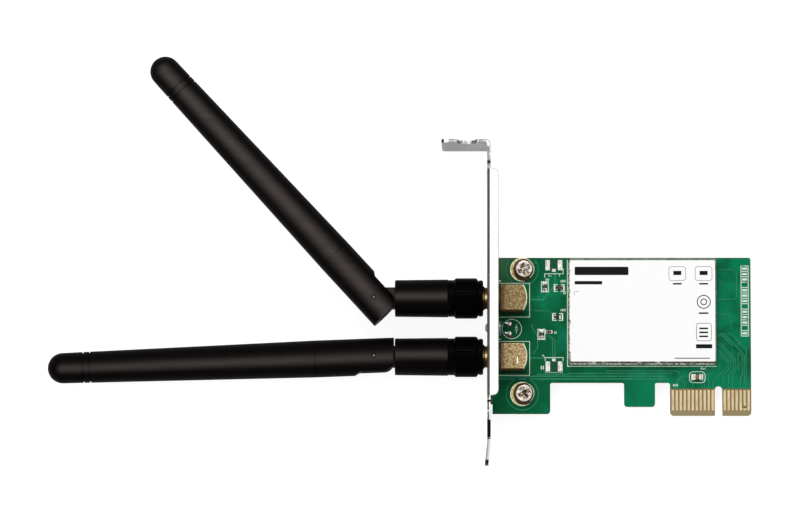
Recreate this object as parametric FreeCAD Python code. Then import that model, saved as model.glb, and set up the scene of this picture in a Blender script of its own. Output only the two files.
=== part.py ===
"""A low-profile PCI Express x1 radio card with two tilt-and-swivel antennas.

The card lies flat with its component side up. X runs along the card away from the bracket, Y runs from
the edge tongue towards the screw tab, and Z points away from the component side. The origin is the middle
of the tongue's lower edge, halfway through the board. All sizes are in millimetres.
"""

import FreeCAD, Part
import math
import os

# Board
board_thickness = 1.57
board_length = 64.9
board_height = 39.8
board_lower_edge = 8.3
board_corner_r = 0.5
tab_corner_r = 0.8
tongue_width = 20.30
left_tab_width = 14.5
left_tab_bottom = 0.45
key_tab_width = 7.75
key_tab_bottom = 2.25
key_tab_gap = 3.8
notch_from_tongue_left = 12.15
notch_width = 1.90
notch_height = 7.45
tongue_corner_r = 0.9
bevel_height = 1.25
bevel_depth = 0.45

# Edge contacts
contact_pitch = 1.00
contact_width = 0.70
contact_bottom = 1.3
contact_top = 6.4
short_contact_bottom = 2.5
contact_bar_height = 0.55
contact_thickness = 0.04
contacts_left = 11
contacts_right = 7
first_contact_inset = 0.65

# Board screws, with their lock washers
screw_shank_d = 2.5
screw_head_d = 4.4
screw_head_height = 1.5
screw_crown = 0.45
recess_width = 0.85
recess_span = 2.7
recess_depth = 1.0
recess_turn = 25
washer_outer_d = 5.3
washer_thickness = 0.6
washer_split = 0.5
washer_split_turn = -60
washer_lift = 0.18
board_hole_d = 3.6
screw_inset_x = 7.9
board_hole_offset_x = -0.42
board_hole_offset_y = -0.12
upper_screw_inset = 3.0
lower_screw_rise = 5.1
thread_clearance = 0.04
screw_end_play = 0.4

# Bracket sheet
sheet = 0.86
bend_r = 0.35
bracket_gap = 0.43
bracket_width = 18.42
bracket_length = 80.0
bracket_tip_drop = 12.7
bracket_rise_over_board = 14.51
bracket_tongue_width = 10.19
bracket_tongue_length = 6.6
tongue_bend_length = 5.4
tongue_bend_angle = 6.0
screw_tab_depth = 11.43
slot_width = 4.42
slot_from_face = 5.08
slot_depth = 3.6
slot_mouth_r = 0.8
screw_tab_corner_r = 1.2
flange_reach = 2.85
flange_bottom = 4.1
flange_length = 56.7
flange_corner_r = 1.4
relief_width = 1.2
ear_length = 12.2
ear_width = 5.2
ear_corner_r = 1.5
ear_relief = 0.7

# Coaxial jacks on the board
upper_jack_from_screw = 7.6
lower_jack_from_screw = 8.95
jack_axis_height = 3.3
jack_inset = 1.92
jack_block_length = 5.85
jack_block_width = 6.6
jack_block_height = 6.6
jack_bulge = 0.95
jack_block_fillet = 0.35
barrel_d = 6.2
barrel_relief_d = 5.4
barrel_relief_length = 0.6
barrel_length = 6.3
barrel_chamfer = 0.3
barrel_bore_d = 4.6
barrel_bore_depth = 3.1
bracket_hole_clearance = 0.2
jack_leg_d = 1.0
jack_leg_pitch = 5.08
leg_hole_clearance = 0.12
solder_tail = 1.1
insulator_d = 4.1
insulator_foot_d = 3.7
insulator_clearance = 0.02
pin_d = 0.90
pin_clearance = 0.02
pin_reach = 5.9
solder_pin_inset = 3.05

# Indicator light
led_d = 3.0
led_length = 4.1
led_proud = 0.64
led_rim_d = 3.6
led_rim_length = 0.7
led_height = 2.5
led_hole_clearance = 0.2
lead_d = 0.5
lead_pitch = 2.54
lead_run = 1.9
lead_bend_r = 0.7

# Shield and label
shield_length = 36.9
shield_width = 26.4
shield_from_right = 8.7
shield_from_top = 0.45
shield_height = 2.6
shield_sheet = 0.2
shield_corner_r = 0.6
lid_skirt = 1.2
lid_clearance = 0.03
frame_lip = 0.9
frame_notch_pitch = 2.2
frame_notch_width = 1.0
frame_notch_height = 0.45
label_end_margin = 0.325
label_side_margin = 0.45
label_thickness = 0.1
label_corner_r = 0.4

# Chip packages under the shield, and how far they lie from its middle
wifi_chip_side = 9.0
wifi_chip_height = 0.85
wifi_chip_chamfer = 0.15
crystal_length = 3.2
crystal_width = 2.5
crystal_height = 0.7
crystal_left = 4.0
crystal_down = 9.0
memory_chip_length = 4.9
memory_chip_width = 3.9
memory_chip_height = 1.4
memory_chip_chamfer = 0.25
memory_chip_right = 8.5
memory_chip_down = 7.5
amplifier_side = 3.0
amplifier_height = 0.85
amplifier_inset = 5.0
amplifier_up = 5.0
amplifier_down = 4.0
inductor_side = 3.0
inductor_base_height = 0.4
inductor_height = 1.2
inductor_core_d = 2.7
inductor_inset = 6.5
inductor_up = 6.5
package_chamfer = 0.1

# Two-ended chip parts
chip_length = 1.6
chip_width = 0.8
capacitor_height = 0.8
resistor_height = 0.45
large_chip_length = 2.0
large_chip_width = 1.2
large_chip_height = 1.1
large_chip_inset = 13.5
small_chip_length = 1.0
small_chip_width = 0.5
small_capacitor_height = 0.5
small_resistor_height = 0.35
chip_cap_skin = 0.03
bypass_distance = 7.2
bypass_pitch = 3.0

# How far the open chip parts lie left of the shield and below its top
far_capacitor_left = 6.1
far_capacitor_down = 6.9
near_capacitor_left = 2.5
near_capacitor_down = 7.2
low_capacitor_left = 7.0
low_capacitor_down = 18.9
resistor_left = 2.9
resistor_down = 14.5
small_resistor_left = 5.2
small_resistor_down = 18.3

# Antenna plug and coupling nut, with distances measured outwards from the bracket
nut_start = 1.03
nut_collar_length = 1.0
nut_collar_d = 9.1
nut_neck_length = 0.3
nut_neck_step = 0.15
nut_chamfer = 0.3
nut_grip_length = 6.0
nut_grip_d = 10.15
nut_grip_chamfer = 0.45
nut_rear_length = 1.45
nut_rear_d = 9.22
grip_teeth = 36
grip_groove_width = 0.42
grip_groove_floor_width = 0.21
grip_groove_depth = 0.26
nut_thread_clearance = 0.06
nut_lip_length = 2.2
nut_to_base_gap = 0.04
plug_shank_d = 5.0
plug_flange_length = 0.9
plug_sleeve_length = 2.5
plug_bore_d = 3.5
plug_cable_bore_d = 2.0
plug_head_d = 6.1
plug_head_length = 1.2
plug_head_land = 0.4
plug_neck_in_base = 3.0
running_clearance = 0.05
axial_play = 0.1
socket_d = 1.30
socket_length = 4.6
socket_bore_depth = 3.0
plug_insulator_length = 4.2

# Swivel base and hinge
base_length = 13.31
base_front_d = 9.5
base_rear_d = 9.22
base_front_chamfer = 0.12
base_rear_chamfer = 0.15
base_cavity_length = 3.5
knuckle_width = 5.3
knuckle_thickness = 3.6
cable_channel_d = 1.9
pivot_from_base = 5.25
pivot_pin_d = 1.2
pivot_pin_recess = 0.35
pivot_pin_grip = 0.7
fork_d = 9.3
fork_behind = 5.12
fork_behind_at_relief = 4.8
fork_ahead = 14.65
fork_relief = 3.85
fork_relief_start = 3.9
fork_relief_run = 1.2
fork_corner_r = 2.5
fork_slot_clearance = 0.12
fork_slot_ahead = 3.1
spigot_d = 7.3
spigot_length = 5.0

# Antenna sleeve and what is inside it
tip_distance = 82.0
sleeve_tip_d = 7.65
sleeve_wall = 0.8
sleeve_mouth_chamfer = 0.1
spigot_clearance = 0.04
ring_groove_width = 0.45
ring_groove_depth = 0.28
ring_groove_from_tip = 9.0
ring_groove_spacing = 1.65
radiator_tube_d = 4.4
radiator_tube_bore_d = 3.6
radiator_tube_length = 24.0
radiator_tube_floor = 0.8
radiator_rod_d = 1.2
radiator_rod_length = 28.0
radiator_seat_depth = 2.6

# How far each antenna is folded, and which way
upper_fold = 47.4
lower_fold = 2.1
fold_side = {"upper": 1, "lower": -1}
fold_angle = {"upper": upper_fold, "lower": lower_fold}

# Places that follow from the sizes above
half_board = board_thickness / 2
board_right = tongue_width / 2
board_left = board_right - board_length
tongue_left = -tongue_width / 2
left_tab_right = board_left + left_tab_width
key_tab_right = tongue_left - key_tab_gap
key_tab_left = key_tab_right - key_tab_width
notch_x = tongue_left + notch_from_tongue_left

face_in = board_left - bracket_gap
face_out = face_in - sheet
near_edge = half_board + bracket_rise_over_board
far_edge = near_edge - bracket_width
tip_y = -bracket_tip_drop
tab_under = tip_y + bracket_length
bracket_tongue_top = tip_y + bracket_tongue_length
bracket_taper = (bracket_width - bracket_tongue_width) / 2
bracket_middle = (near_edge + far_edge) / 2

screw_x = board_left + screw_inset_x
screw_places = (
    (screw_x, board_height - upper_screw_inset),
    (screw_x, left_tab_bottom + lower_screw_rise),
)
washer_bottom = half_board
head_bottom = washer_bottom + washer_thickness + washer_lift
screw_end = -half_board - sheet - screw_end_play

jack_z = half_board + jack_axis_height
jack_y = {
    "upper": screw_places[0][1] - upper_jack_from_screw,
    "lower": screw_places[1][1] + lower_jack_from_screw,
}
block_left = board_left + jack_inset
block_right = block_left + jack_block_length
solder_pin_x = block_left + solder_pin_inset
led_y = (jack_y["upper"] + jack_y["lower"]) / 2
led_z = half_board + led_height

nut_grip_start = nut_start + nut_collar_length + nut_neck_length
nut_grip_end = nut_grip_start + nut_grip_length
nut_end = nut_grip_end + nut_rear_length
nut_bore_d = barrel_d + 2 * nut_thread_clearance
nut_lip_start = nut_end - nut_lip_length
plug_flange_start = barrel_length + axial_play
plug_flange_d = barrel_d - 2 * running_clearance
base_start = nut_end + nut_to_base_gap
base_end = base_start + base_length
pivot_out = base_end + pivot_from_base
pivot_x = face_out - pivot_out
sleeve_root_d = fork_d

shield_right = board_right - shield_from_right
shield_left = shield_right - shield_length
shield_top = board_height - shield_from_top
shield_bottom = shield_top - shield_width
shield_middle = ((shield_left + shield_right) / 2, (shield_bottom + shield_top) / 2)
lid_top = half_board + shield_height
label_length = shield_length - 2 * label_end_margin
label_width = shield_width - 2 * label_side_margin

X = FreeCAD.Vector(1, 0, 0)
Y = FreeCAD.Vector(0, 1, 0)
Z = FreeCAD.Vector(0, 0, 1)


def vec(x, y, z):
    return FreeCAD.Vector(x, y, z)


def box(x0, x1, y0, y1, z0, z1):
    """A box between two corners, given in any order."""
    low = vec(min(x0, x1), min(y0, y1), min(z0, z1))
    return Part.makeBox(abs(x1 - x0), abs(y1 - y0), abs(z1 - z0), low)


def rod(radius, start, end):
    """A round rod between two points."""
    along = end - start
    return Part.makeCylinder(radius, along.Length, start, along)


def prism(points, direction):
    """A straight-sided solid: a closed outline swept along a vector."""
    corners = [vec(*p) for p in points]
    outline = Part.makePolygon(corners + corners[:1])
    return Part.Face(outline).extrude(direction)


def turned(profile):
    """A solid of revolution about the X axis, from (x, radius) points."""
    corners = [vec(x, radius, 0) for x, radius in profile]
    outline = Part.makePolygon(corners + corners[:1])
    return Part.Face(outline).revolve(vec(0, 0, 0), X, 360)


def outward(profile):
    """A turned solid whose profile is given as distances outwards from the bracket's face."""
    return turned([(face_out - distance, radius) for distance, radius in profile])


def round_edges(solid, radius, chosen):
    """Fillet every edge that the chooser accepts."""
    edges = [edge for edge in solid.Edges if chosen(edge)]
    return solid.makeFillet(radius, edges)


def along(edge, direction):
    """Whether a straight edge runs along a direction."""
    if not isinstance(edge.Curve, Part.Line):
        return False
    return edge.tangentAt(edge.FirstParameter).cross(direction).Length < 1e-6


def edge_at(edge, x=None, y=None, z=None):
    """Whether the middle of an edge lies at the given coordinates."""
    middle = edge.valueAt((edge.FirstParameter + edge.LastParameter) / 2)
    wanted = ((middle.x, x), (middle.y, y), (middle.z, z))
    return all(value is None or abs(found - value) < 1e-4 for found, value in wanted)


def joined(first, *others):
    """One clean solid from overlapping or touching solids."""
    return first.fuse(list(others)).removeSplitter()


def quarter_bend(corner, start_angle, inner_r, axis, length):
    """A quarter of a sheet bend, swept along an axis from its corner point."""
    outer = Part.makeCylinder(inner_r + sheet, length, corner, axis, 90)
    inner = Part.makeCylinder(inner_r, length, corner, axis, 90)
    bend = outer.cut(inner)
    bend.rotate(corner, axis, start_angle)
    return bend


def board_outline():
    """Corners of the board, from its upper left corner clockwise."""
    return [
        (board_left, board_height),
        (board_right, board_height),
        (board_right, 0),
        (tongue_left, 0),
        (tongue_left, board_lower_edge),
        (key_tab_right, board_lower_edge),
        (key_tab_right, key_tab_bottom),
        (key_tab_left, key_tab_bottom),
        (key_tab_left, board_lower_edge),
        (left_tab_right, board_lower_edge),
        (left_tab_right, left_tab_bottom),
        (board_left, left_tab_bottom),
    ]


def round_board_corners(board):
    """Round the routed corners of the board."""
    tongue_corners = ((tongue_left, 0), (board_right, 0))
    tab_corners = (
        (left_tab_right, left_tab_bottom),
        (key_tab_left, key_tab_bottom),
        (key_tab_right, key_tab_bottom),
    )
    inner_corners = (
        (left_tab_right, board_lower_edge),
        (key_tab_left, board_lower_edge),
        (key_tab_right, board_lower_edge),
        (tongue_left, board_lower_edge),
        (board_right, board_height),
    )
    corners = (
        (tongue_corner_r, tongue_corners), (tab_corner_r, tab_corners), (board_corner_r, inner_corners))
    for radius, places in corners:
        board = round_edges(board, radius, lambda edge: along(edge, Z) and any(
            edge_at(edge, x=x, y=y) for x, y in places))
    return board


def bevel_tongue(board):
    """Cut the slanting lead-in on both faces of the tongue."""
    for side in (1, -1):
        face = side * half_board
        wedge = prism([
            (tongue_left - 1, 0, face - side * bevel_depth),
            (tongue_left - 1, -1, face - side * bevel_depth),
            (tongue_left - 1, -1, face + side),
            (tongue_left - 1, bevel_height, face + side),
            (tongue_left - 1, bevel_height, face),
        ], vec(tongue_width + 2, 0, 0))
        board = board.cut(wedge)
    return board


def board_drill(x, y, diameter):
    """A drill through the board."""
    return rod(diameter / 2, vec(x, y, -board_thickness), vec(x, y, board_thickness))


def jack_leg_places(side):
    """Where a jack's four ground legs go through the board."""
    step = jack_leg_pitch / 2
    return [(solder_pin_x + sx * step, jack_y[side] + sy * step) for sx in (-1, 1) for sy in (-1, 1)]


def lead_places():
    """Where the light's two leads go through the board."""
    x = face_out - led_proud + led_length + lead_run
    return [(x, led_y + step * lead_pitch / 2) for step in (-1, 1)]


def make_circuit_board():
    """The routed board with its key notch, bevel and drilled holes."""
    corners = [(x, y, -half_board) for x, y in board_outline()]
    board = prism(corners, vec(0, 0, board_thickness))
    board = round_board_corners(board)
    board = bevel_tongue(board)
    notch_r = notch_width / 2
    notch = box(notch_x - notch_r, notch_x + notch_r, -1, notch_height - notch_r, -1, 1)
    board = board.cut(notch.fuse(board_drill(notch_x, notch_height - notch_r, notch_width)))
    for x, y in screw_places:
        board = board.cut(board_drill(x + board_hole_offset_x, y + board_hole_offset_y, board_hole_d))
    for side in jack_y:
        for x, y in jack_leg_places(side):
            board = board.cut(board_drill(x, y, jack_leg_d + 2 * leg_hole_clearance))
        board = board.cut(board_drill(solder_pin_x, jack_y[side], pin_d + 2 * leg_hole_clearance))
    for x, y in lead_places():
        board = board.cut(board_drill(x, y, lead_d + 2 * leg_hole_clearance))
    return board.removeSplitter()


def contact_strip(start, end, bottom, top, side):
    """One thin gold strip on a face of the tongue."""
    face = side * half_board
    return box(start, end, bottom, top, face, face + side * contact_thickness)


def make_edge_contacts():
    """The gold strips on both faces of the tongue, with one short contact on each face.

    The strip beside the key notch reaches the notch. On the component side the strips left and right of
    the short contact are joined by a bar below it.
    """
    half = contact_width / 2
    left_start = tongue_left + first_contact_inset
    right_start = board_right - first_contact_inset - (contacts_right - 1) * contact_pitch
    centres = [left_start + i * contact_pitch for i in range(contacts_left)]
    centres += [right_start + i * contact_pitch for i in range(contacts_right)]
    strips = []
    for side in (1, -1):
        short = len(centres) - 2 if side > 0 else 0
        row = []
        for number, x in enumerate(centres):
            bottom = short_contact_bottom if number == short else contact_bottom
            end = notch_x - notch_width / 2 if number == contacts_left - 1 else x + half
            row.append(contact_strip(x - half, end, bottom, contact_top, side))
        if side > 0:
            bar = contact_strip(
                centres[short - 1] - half, centres[short + 1] + half,
                contact_bottom, contact_bottom + contact_bar_height, side)
            loop = joined(bar, row[short - 1], row[short + 1])
            row = row[:short - 1] + [loop, row[short]] + row[short + 2:]
        strips += row
    return Part.makeCompound(strips)


def make_bracket_face():
    """The flat of the bracket: full width at the top, tapering to the tongue."""
    half_tongue = bracket_tongue_width / 2
    bend_y = tip_y + tongue_bend_length
    corners = [
        (face_out, tab_under - bend_r, far_edge),
        (face_out, tab_under - bend_r, near_edge),
        (face_out, bracket_tongue_top + bracket_taper, near_edge),
        (face_out, bracket_tongue_top, bracket_middle + half_tongue),
        (face_out, bend_y, bracket_middle + half_tongue),
        (face_out, bend_y, bracket_middle - half_tongue),
        (face_out, bracket_tongue_top, bracket_middle - half_tongue),
        (face_out, bracket_tongue_top + bracket_taper, far_edge),
    ]
    return prism(corners, vec(sheet, 0, 0))


def make_bracket_tongue():
    """The end of the tongue, bent slightly outwards, with rounded corners."""
    half_tongue = bracket_tongue_width / 2
    bend_y = tip_y + tongue_bend_length
    lean = math.tan(math.radians(tongue_bend_angle)) * tongue_bend_length
    tongue = prism([
        (face_out, bend_y, bracket_middle - half_tongue),
        (face_in, bend_y, bracket_middle - half_tongue),
        (face_in - lean, tip_y, bracket_middle - half_tongue),
        (face_out - lean, tip_y, bracket_middle - half_tongue),
    ], vec(0, 0, bracket_tongue_width))
    return round_edges(tongue, screw_tab_corner_r, lambda edge: along(edge, X) and edge_at(edge, y=tip_y))


def make_screw_tab():
    """The bent tab that the chassis screw holds, with its open slot."""
    tab_end = face_out - screw_tab_depth
    tab = box(tab_end, face_out - bend_r, tab_under, tab_under + sheet, far_edge, near_edge)
    tab = round_edges(tab, screw_tab_corner_r, lambda edge: along(edge, Y) and edge_at(edge, x=tab_end))
    slot_x = face_out - slot_from_face
    slot_r = slot_width / 2
    slot_z = near_edge - slot_depth + slot_r
    tall = (tab_under - sheet, tab_under + 2 * sheet)
    slot = rod(slot_r, vec(slot_x, tall[0], slot_z), vec(slot_x, tall[1], slot_z))
    slot = slot.fuse(box(slot_x - slot_r, slot_x + slot_r, *tall, slot_z, near_edge + 1))
    tab = tab.cut(slot)
    return round_edges(tab, slot_mouth_r, lambda edge: along(edge, Y) and (
        edge_at(edge, x=slot_x - slot_r, z=near_edge) or edge_at(edge, x=slot_x + slot_r, z=near_edge)))


def make_side_flange():
    """The stiffening flange along the near edge, with its bend."""
    flange_top = flange_bottom + flange_length
    reach = face_out + flange_reach
    start = face_in + bend_r
    flange = box(start, reach, flange_bottom, flange_top, near_edge - sheet, near_edge)
    flange = round_edges(flange, flange_corner_r, lambda edge: along(edge, Z) and edge_at(edge, x=reach))
    corner = vec(start, flange_top, near_edge - sheet - bend_r)
    bend = quarter_bend(corner, 180, bend_r, -Y, flange_length)
    return joined(flange, bend)


def make_ear(y):
    """One ear bent back behind the board, tapped for a board screw."""
    start = face_in + bend_r
    end = face_in + ear_length
    top = -half_board
    ear = box(start, end, y - ear_width / 2, y + ear_width / 2, top - sheet, top)
    ear = round_edges(ear, ear_corner_r, lambda edge: along(edge, Z) and edge_at(edge, x=end))
    corner = vec(start, y - ear_width / 2, top + bend_r)
    bend = quarter_bend(corner, 180, bend_r, Y, ear_width)
    ear = joined(ear, bend)
    hole_r = screw_shank_d / 2 + thread_clearance
    return ear.cut(rod(hole_r, vec(screw_x, y, top - 2 * sheet), vec(screw_x, y, top + sheet)))


def make_bracket():
    """The folded and stamped bracket, one sheet."""
    face = make_bracket_face()
    beyond = near_edge + 1
    flange_cut = near_edge - sheet - bend_r
    flange_top = flange_bottom + flange_length
    relief_bottom = flange_bottom - relief_width
    relief_top = flange_top + relief_width
    face = face.cut(box(face_out - 1, face_in + 1, relief_bottom, relief_top, flange_cut, beyond))
    ear_cut = -half_board + bend_r
    for x, y in screw_places:
        half = ear_width / 2 + ear_relief
        face = face.cut(box(face_out - 1, face_in + 1, y - half, y + half, far_edge - 1, ear_cut))
    hole_r = barrel_d / 2 + bracket_hole_clearance
    for y in jack_y.values():
        face = face.cut(rod(hole_r, vec(face_out - 1, y, jack_z), vec(face_in + 1, y, jack_z)))
    led_hole_r = led_d / 2 + led_hole_clearance
    face = face.cut(rod(led_hole_r, vec(face_out - 1, led_y, led_z), vec(face_in + 1, led_y, led_z)))
    corner = vec(face_out - bend_r, tab_under - bend_r, far_edge)
    top_bend = quarter_bend(corner, 0, bend_r, Z, bracket_width)
    ears = [make_ear(y) for x, y in screw_places]
    return joined(face, top_bend, make_screw_tab(), make_side_flange(), make_bracket_tongue(), *ears)


def make_board_screw(x, y):
    """A cross-recess pan-head screw whose shank ends just past the ear."""
    head_r = screw_head_d / 2
    head_top = head_bottom + screw_head_height
    head = rod(head_r, vec(x, y, head_bottom), vec(x, y, head_top))
    head = round_edges(head, screw_crown, lambda edge: edge_at(edge, z=head_top))
    shank = rod(screw_shank_d / 2, vec(x, y, screw_end), vec(x, y, head_bottom + screw_head_height / 2))
    screw = joined(head, shank)
    recess_floor = head_top - recess_depth
    span = recess_span / 2
    half = recess_width / 2
    cross = box(x - span, x + span, y - half, y + half, recess_floor, head_top + 1)
    cross = cross.fuse(box(x - half, x + half, y - span, y + span, recess_floor, head_top + 1))
    cross.rotate(vec(x, y, 0), Z, recess_turn)
    return screw.cut(cross)


def make_lock_washer(x, y):
    """A split spring washer; its cut ends stand apart by the washer's lift."""
    outer_r = washer_outer_d / 2
    inner_r = screw_shank_d / 2 + running_clearance
    top = washer_bottom + washer_thickness + washer_lift
    ring = rod(outer_r, vec(x, y, washer_bottom), vec(x, y, top))
    ring = ring.cut(rod(inner_r, vec(x, y, washer_bottom - 1), vec(x, y, top + 1)))
    gap = box(x, x + 2 * outer_r, y - washer_split / 2, y + washer_split / 2, washer_bottom - 1, top + 1)
    gap.rotate(vec(x, y, 0), Z, washer_split_turn)
    return ring.cut(gap)


def make_jack_block(y):
    """The cast block of a jack, with its rounded back."""
    half = jack_block_width / 2
    bulge_mid = vec(block_right + jack_bulge, y, half_board)
    corners = [
        vec(block_right, y - half, half_board), vec(block_left, y - half, half_board),
        vec(block_left, y + half, half_board), vec(block_right, y + half, half_board)]
    back = Part.Arc(corners[3], bulge_mid, corners[0]).toShape()
    outline = Part.Wire([Part.makePolygon(corners), back])
    block = Part.Face(outline).extrude(vec(0, 0, jack_block_height))
    top = half_board + jack_block_height
    return round_edges(block, jack_block_fillet, lambda edge: edge_at(edge, z=top))


def make_jack_body(side):
    """A right-angle jack: block, threaded barrel with a relief at the bracket, and four legs."""
    y = jack_y[side]
    bore_r = insulator_d / 2 + insulator_clearance
    relief_end = barrel_relief_length
    block_out = face_out - block_left
    barrel = outward([
        (block_out - 1, 0), (block_out - 1, barrel_relief_d / 2), (relief_end, barrel_relief_d / 2),
        (relief_end + barrel_chamfer, barrel_d / 2), (barrel_length - barrel_chamfer, barrel_d / 2),
        (barrel_length, barrel_d / 2 - barrel_chamfer), (barrel_length, 0)])
    bore_end = barrel_length - barrel_bore_depth
    hollow = outward([
        (face_out - solder_pin_x - insulator_d / 2, 0), (face_out - solder_pin_x - insulator_d / 2, bore_r),
        (bore_end, bore_r), (bore_end, barrel_bore_d / 2), (barrel_length + 1, barrel_bore_d / 2),
        (barrel_length + 1, 0)])
    for piece in (barrel, hollow):
        piece.translate(vec(0, y, jack_z))
    body = joined(make_jack_block(y), barrel).cut(hollow)
    foot_r = insulator_foot_d / 2 + insulator_clearance
    body = body.cut(rod(foot_r, vec(solder_pin_x, y, half_board - 1), vec(solder_pin_x, y, jack_z)))
    legs = [rod(jack_leg_d / 2, vec(x, leg_y, -half_board - solder_tail), vec(x, leg_y, half_board + 1))
            for x, leg_y in jack_leg_places(side)]
    return joined(body, *legs)


def make_jack_insulator(side):
    """The white insulator: one arm in the barrel, one down to the board."""
    y = jack_y[side]
    radius = insulator_d / 2
    back = solder_pin_x + radius
    front = face_out - barrel_length + barrel_bore_depth
    level = rod(radius, vec(front, y, jack_z), vec(back, y, jack_z))
    upright = rod(insulator_foot_d / 2, vec(solder_pin_x, y, half_board), vec(solder_pin_x, y, jack_z))
    insulator = joined(level, upright)
    arm_r = pin_d / 2 + pin_clearance
    insulator = insulator.cut(rod(arm_r, vec(solder_pin_x, y, 0), vec(solder_pin_x, y, jack_z)))
    return insulator.cut(rod(arm_r + pin_clearance, vec(front - 1, y, jack_z), vec(back + 1, y, jack_z)))


def make_jack_pin(side):
    """The centre pin, bent down into the board, with a pointed end."""
    y = jack_y[side]
    radius = pin_d / 2
    tip = face_out - pin_reach
    level = rod(radius, vec(tip + radius, y, jack_z), vec(solder_pin_x, y, jack_z))
    point = Part.makeCone(radius, radius / 2, radius, vec(tip + radius, y, jack_z), -X)
    elbow = Part.makeSphere(radius, vec(solder_pin_x, y, jack_z))
    foot = vec(solder_pin_x, y, -half_board - solder_tail)
    return joined(level, point, elbow, rod(radius, foot, vec(solder_pin_x, y, jack_z)))


def make_led_lens():
    """The light's clear body: a domed round front and a rim at the back."""
    radius = led_d / 2
    tip = face_out - led_proud
    back = tip + led_length
    stem = rod(radius, vec(tip + radius, led_y, led_z), vec(back, led_y, led_z))
    rim = rod(led_rim_d / 2, vec(back - led_rim_length, led_y, led_z), vec(back, led_y, led_z))
    dome = Part.makeSphere(radius, vec(tip + radius, led_y, led_z))
    return joined(stem, rim, dome)


def make_led_leads():
    """Two round leads that leave the light's back and bend down into the board."""
    radius = lead_d / 2
    back = face_out - led_proud + led_length
    leads = []
    for x, y in lead_places():
        level = rod(radius, vec(back, y, led_z), vec(x - lead_bend_r, y, led_z))
        ring = Part.makeTorus(lead_bend_r, radius, vec(x - lead_bend_r, y, led_z - lead_bend_r), Y)
        quarter = ring.common(box(
            x - lead_bend_r, x + lead_d, y - lead_d, y + lead_d, led_z - lead_bend_r, led_z + lead_d))
        down = rod(radius, vec(x, y, -half_board - solder_tail), vec(x, y, led_z - lead_bend_r))
        leads.append(joined(level, quarter, down))
    return Part.makeCompound(leads)


def rounded_plate(length, width, corner_r, bottom, top):
    """A plate with rounded corners, centred on the shield."""
    x, y = shield_middle
    plate = box(x - length / 2, x + length / 2, y - width / 2, y + width / 2, bottom, top)
    return round_edges(plate, corner_r, lambda edge: along(edge, Z))


def make_shield_lid():
    """The pressed cover: a flat top and a short skirt around the frame."""
    bottom = lid_top - shield_sheet - lid_skirt
    outer = rounded_plate(shield_length, shield_width, shield_corner_r, bottom, lid_top)
    outer = round_edges(outer, shield_sheet, lambda edge: edge_at(edge, z=lid_top))
    inner = rounded_plate(
        shield_length - 2 * shield_sheet, shield_width - 2 * shield_sheet,
        shield_corner_r - shield_sheet, bottom - 1, lid_top - shield_sheet)
    return outer.cut(inner)


def make_shield_frame():
    """The soldered frame: a wall with an inward lip and a row of solder notches along its foot."""
    step = 2 * (shield_sheet + lid_clearance)
    length = shield_length - step
    width = shield_width - step
    top = lid_top - shield_sheet
    corner_r = shield_corner_r - shield_sheet
    outer = rounded_plate(length, width, corner_r, half_board, top)
    wall = rounded_plate(
        length - 2 * shield_sheet, width - 2 * shield_sheet, corner_r - shield_sheet / 2,
        half_board - 1, top - shield_sheet)
    mouth = rounded_plate(length - 2 * frame_lip, width - 2 * frame_lip, corner_r, half_board - 1, top + 1)
    frame = outer.cut(wall).cut(mouth)
    x, y = shield_middle
    high = half_board + frame_notch_height
    half = frame_notch_width / 2
    for size, run in ((length, X), (width, Y)):
        count = int((size - 2 * corner_r) / frame_notch_pitch)
        for number in range(count):
            place = (number - (count - 1) / 2) * frame_notch_pitch
            if run is X:
                notch = box(x + place - half, x + place + half, y - width, y + width, half_board - 1, high)
            else:
                notch = box(x - length, x + length, y + place - half, y + place + half, half_board - 1, high)
            frame = frame.cut(notch)
    return frame


def make_label():
    """The paper label on the lid."""
    return rounded_plate(label_length, label_width, label_corner_r, lid_top, lid_top + label_thickness)


def package(x, y, length, width, height, chamfer):
    """A moulded chip package standing on the board, with chamfered top edges."""
    top = half_board + height
    block = box(x - length / 2, x + length / 2, y - width / 2, y + width / 2, half_board, top)
    edges = [edge for edge in block.Edges if edge_at(edge, z=top)]
    return block.makeChamfer(chamfer, edges)


def chip_part(x, y, length, width, height, turned_up=False):
    """A small two-ended part; its metal end caps stand slightly proud of the middle."""
    cap = length / 4
    half = length / 2
    half_middle = width / 2 - chip_cap_skin
    middle = box(x - half + cap, x + half - cap, y - half_middle, y + half_middle,
                 half_board, half_board + height - chip_cap_skin)
    caps = [box(x + sign * half, x + sign * (half - cap), y - width / 2, y + width / 2,
                half_board, half_board + height) for sign in (-1, 1)]
    part = joined(middle, *caps)
    if turned_up:
        part.rotate(vec(x, y, 0), Z, 90)
    return part


def left_of_shield(left, down, length, width, height, turned_up=False):
    """A two-ended part placed from the shield's upper left corner."""
    return chip_part(shield_left - left, shield_top - down, length, width, height, turned_up)


def make_chip_capacitors():
    """The small capacitors that stand in the open; the largest lies between the shield and the contacts."""
    size = (chip_length, chip_width, capacitor_height)
    return Part.makeCompound([
        left_of_shield(far_capacitor_left, far_capacitor_down, *size, turned_up=True),
        left_of_shield(near_capacitor_left, near_capacitor_down, *size),
        left_of_shield(low_capacitor_left, low_capacitor_down, *size, turned_up=True),
        chip_part(
            board_right - large_chip_inset, (shield_bottom + contact_top) / 2,
            large_chip_length, large_chip_width, large_chip_height),
    ])


def make_chip_resistors():
    """The small resistors that stand in the open on the board."""
    return Part.makeCompound([
        left_of_shield(resistor_left, resistor_down, chip_length, chip_width, resistor_height),
        left_of_shield(
            small_resistor_left, small_resistor_down, small_chip_length, small_chip_width,
            small_resistor_height),
    ])


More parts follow.
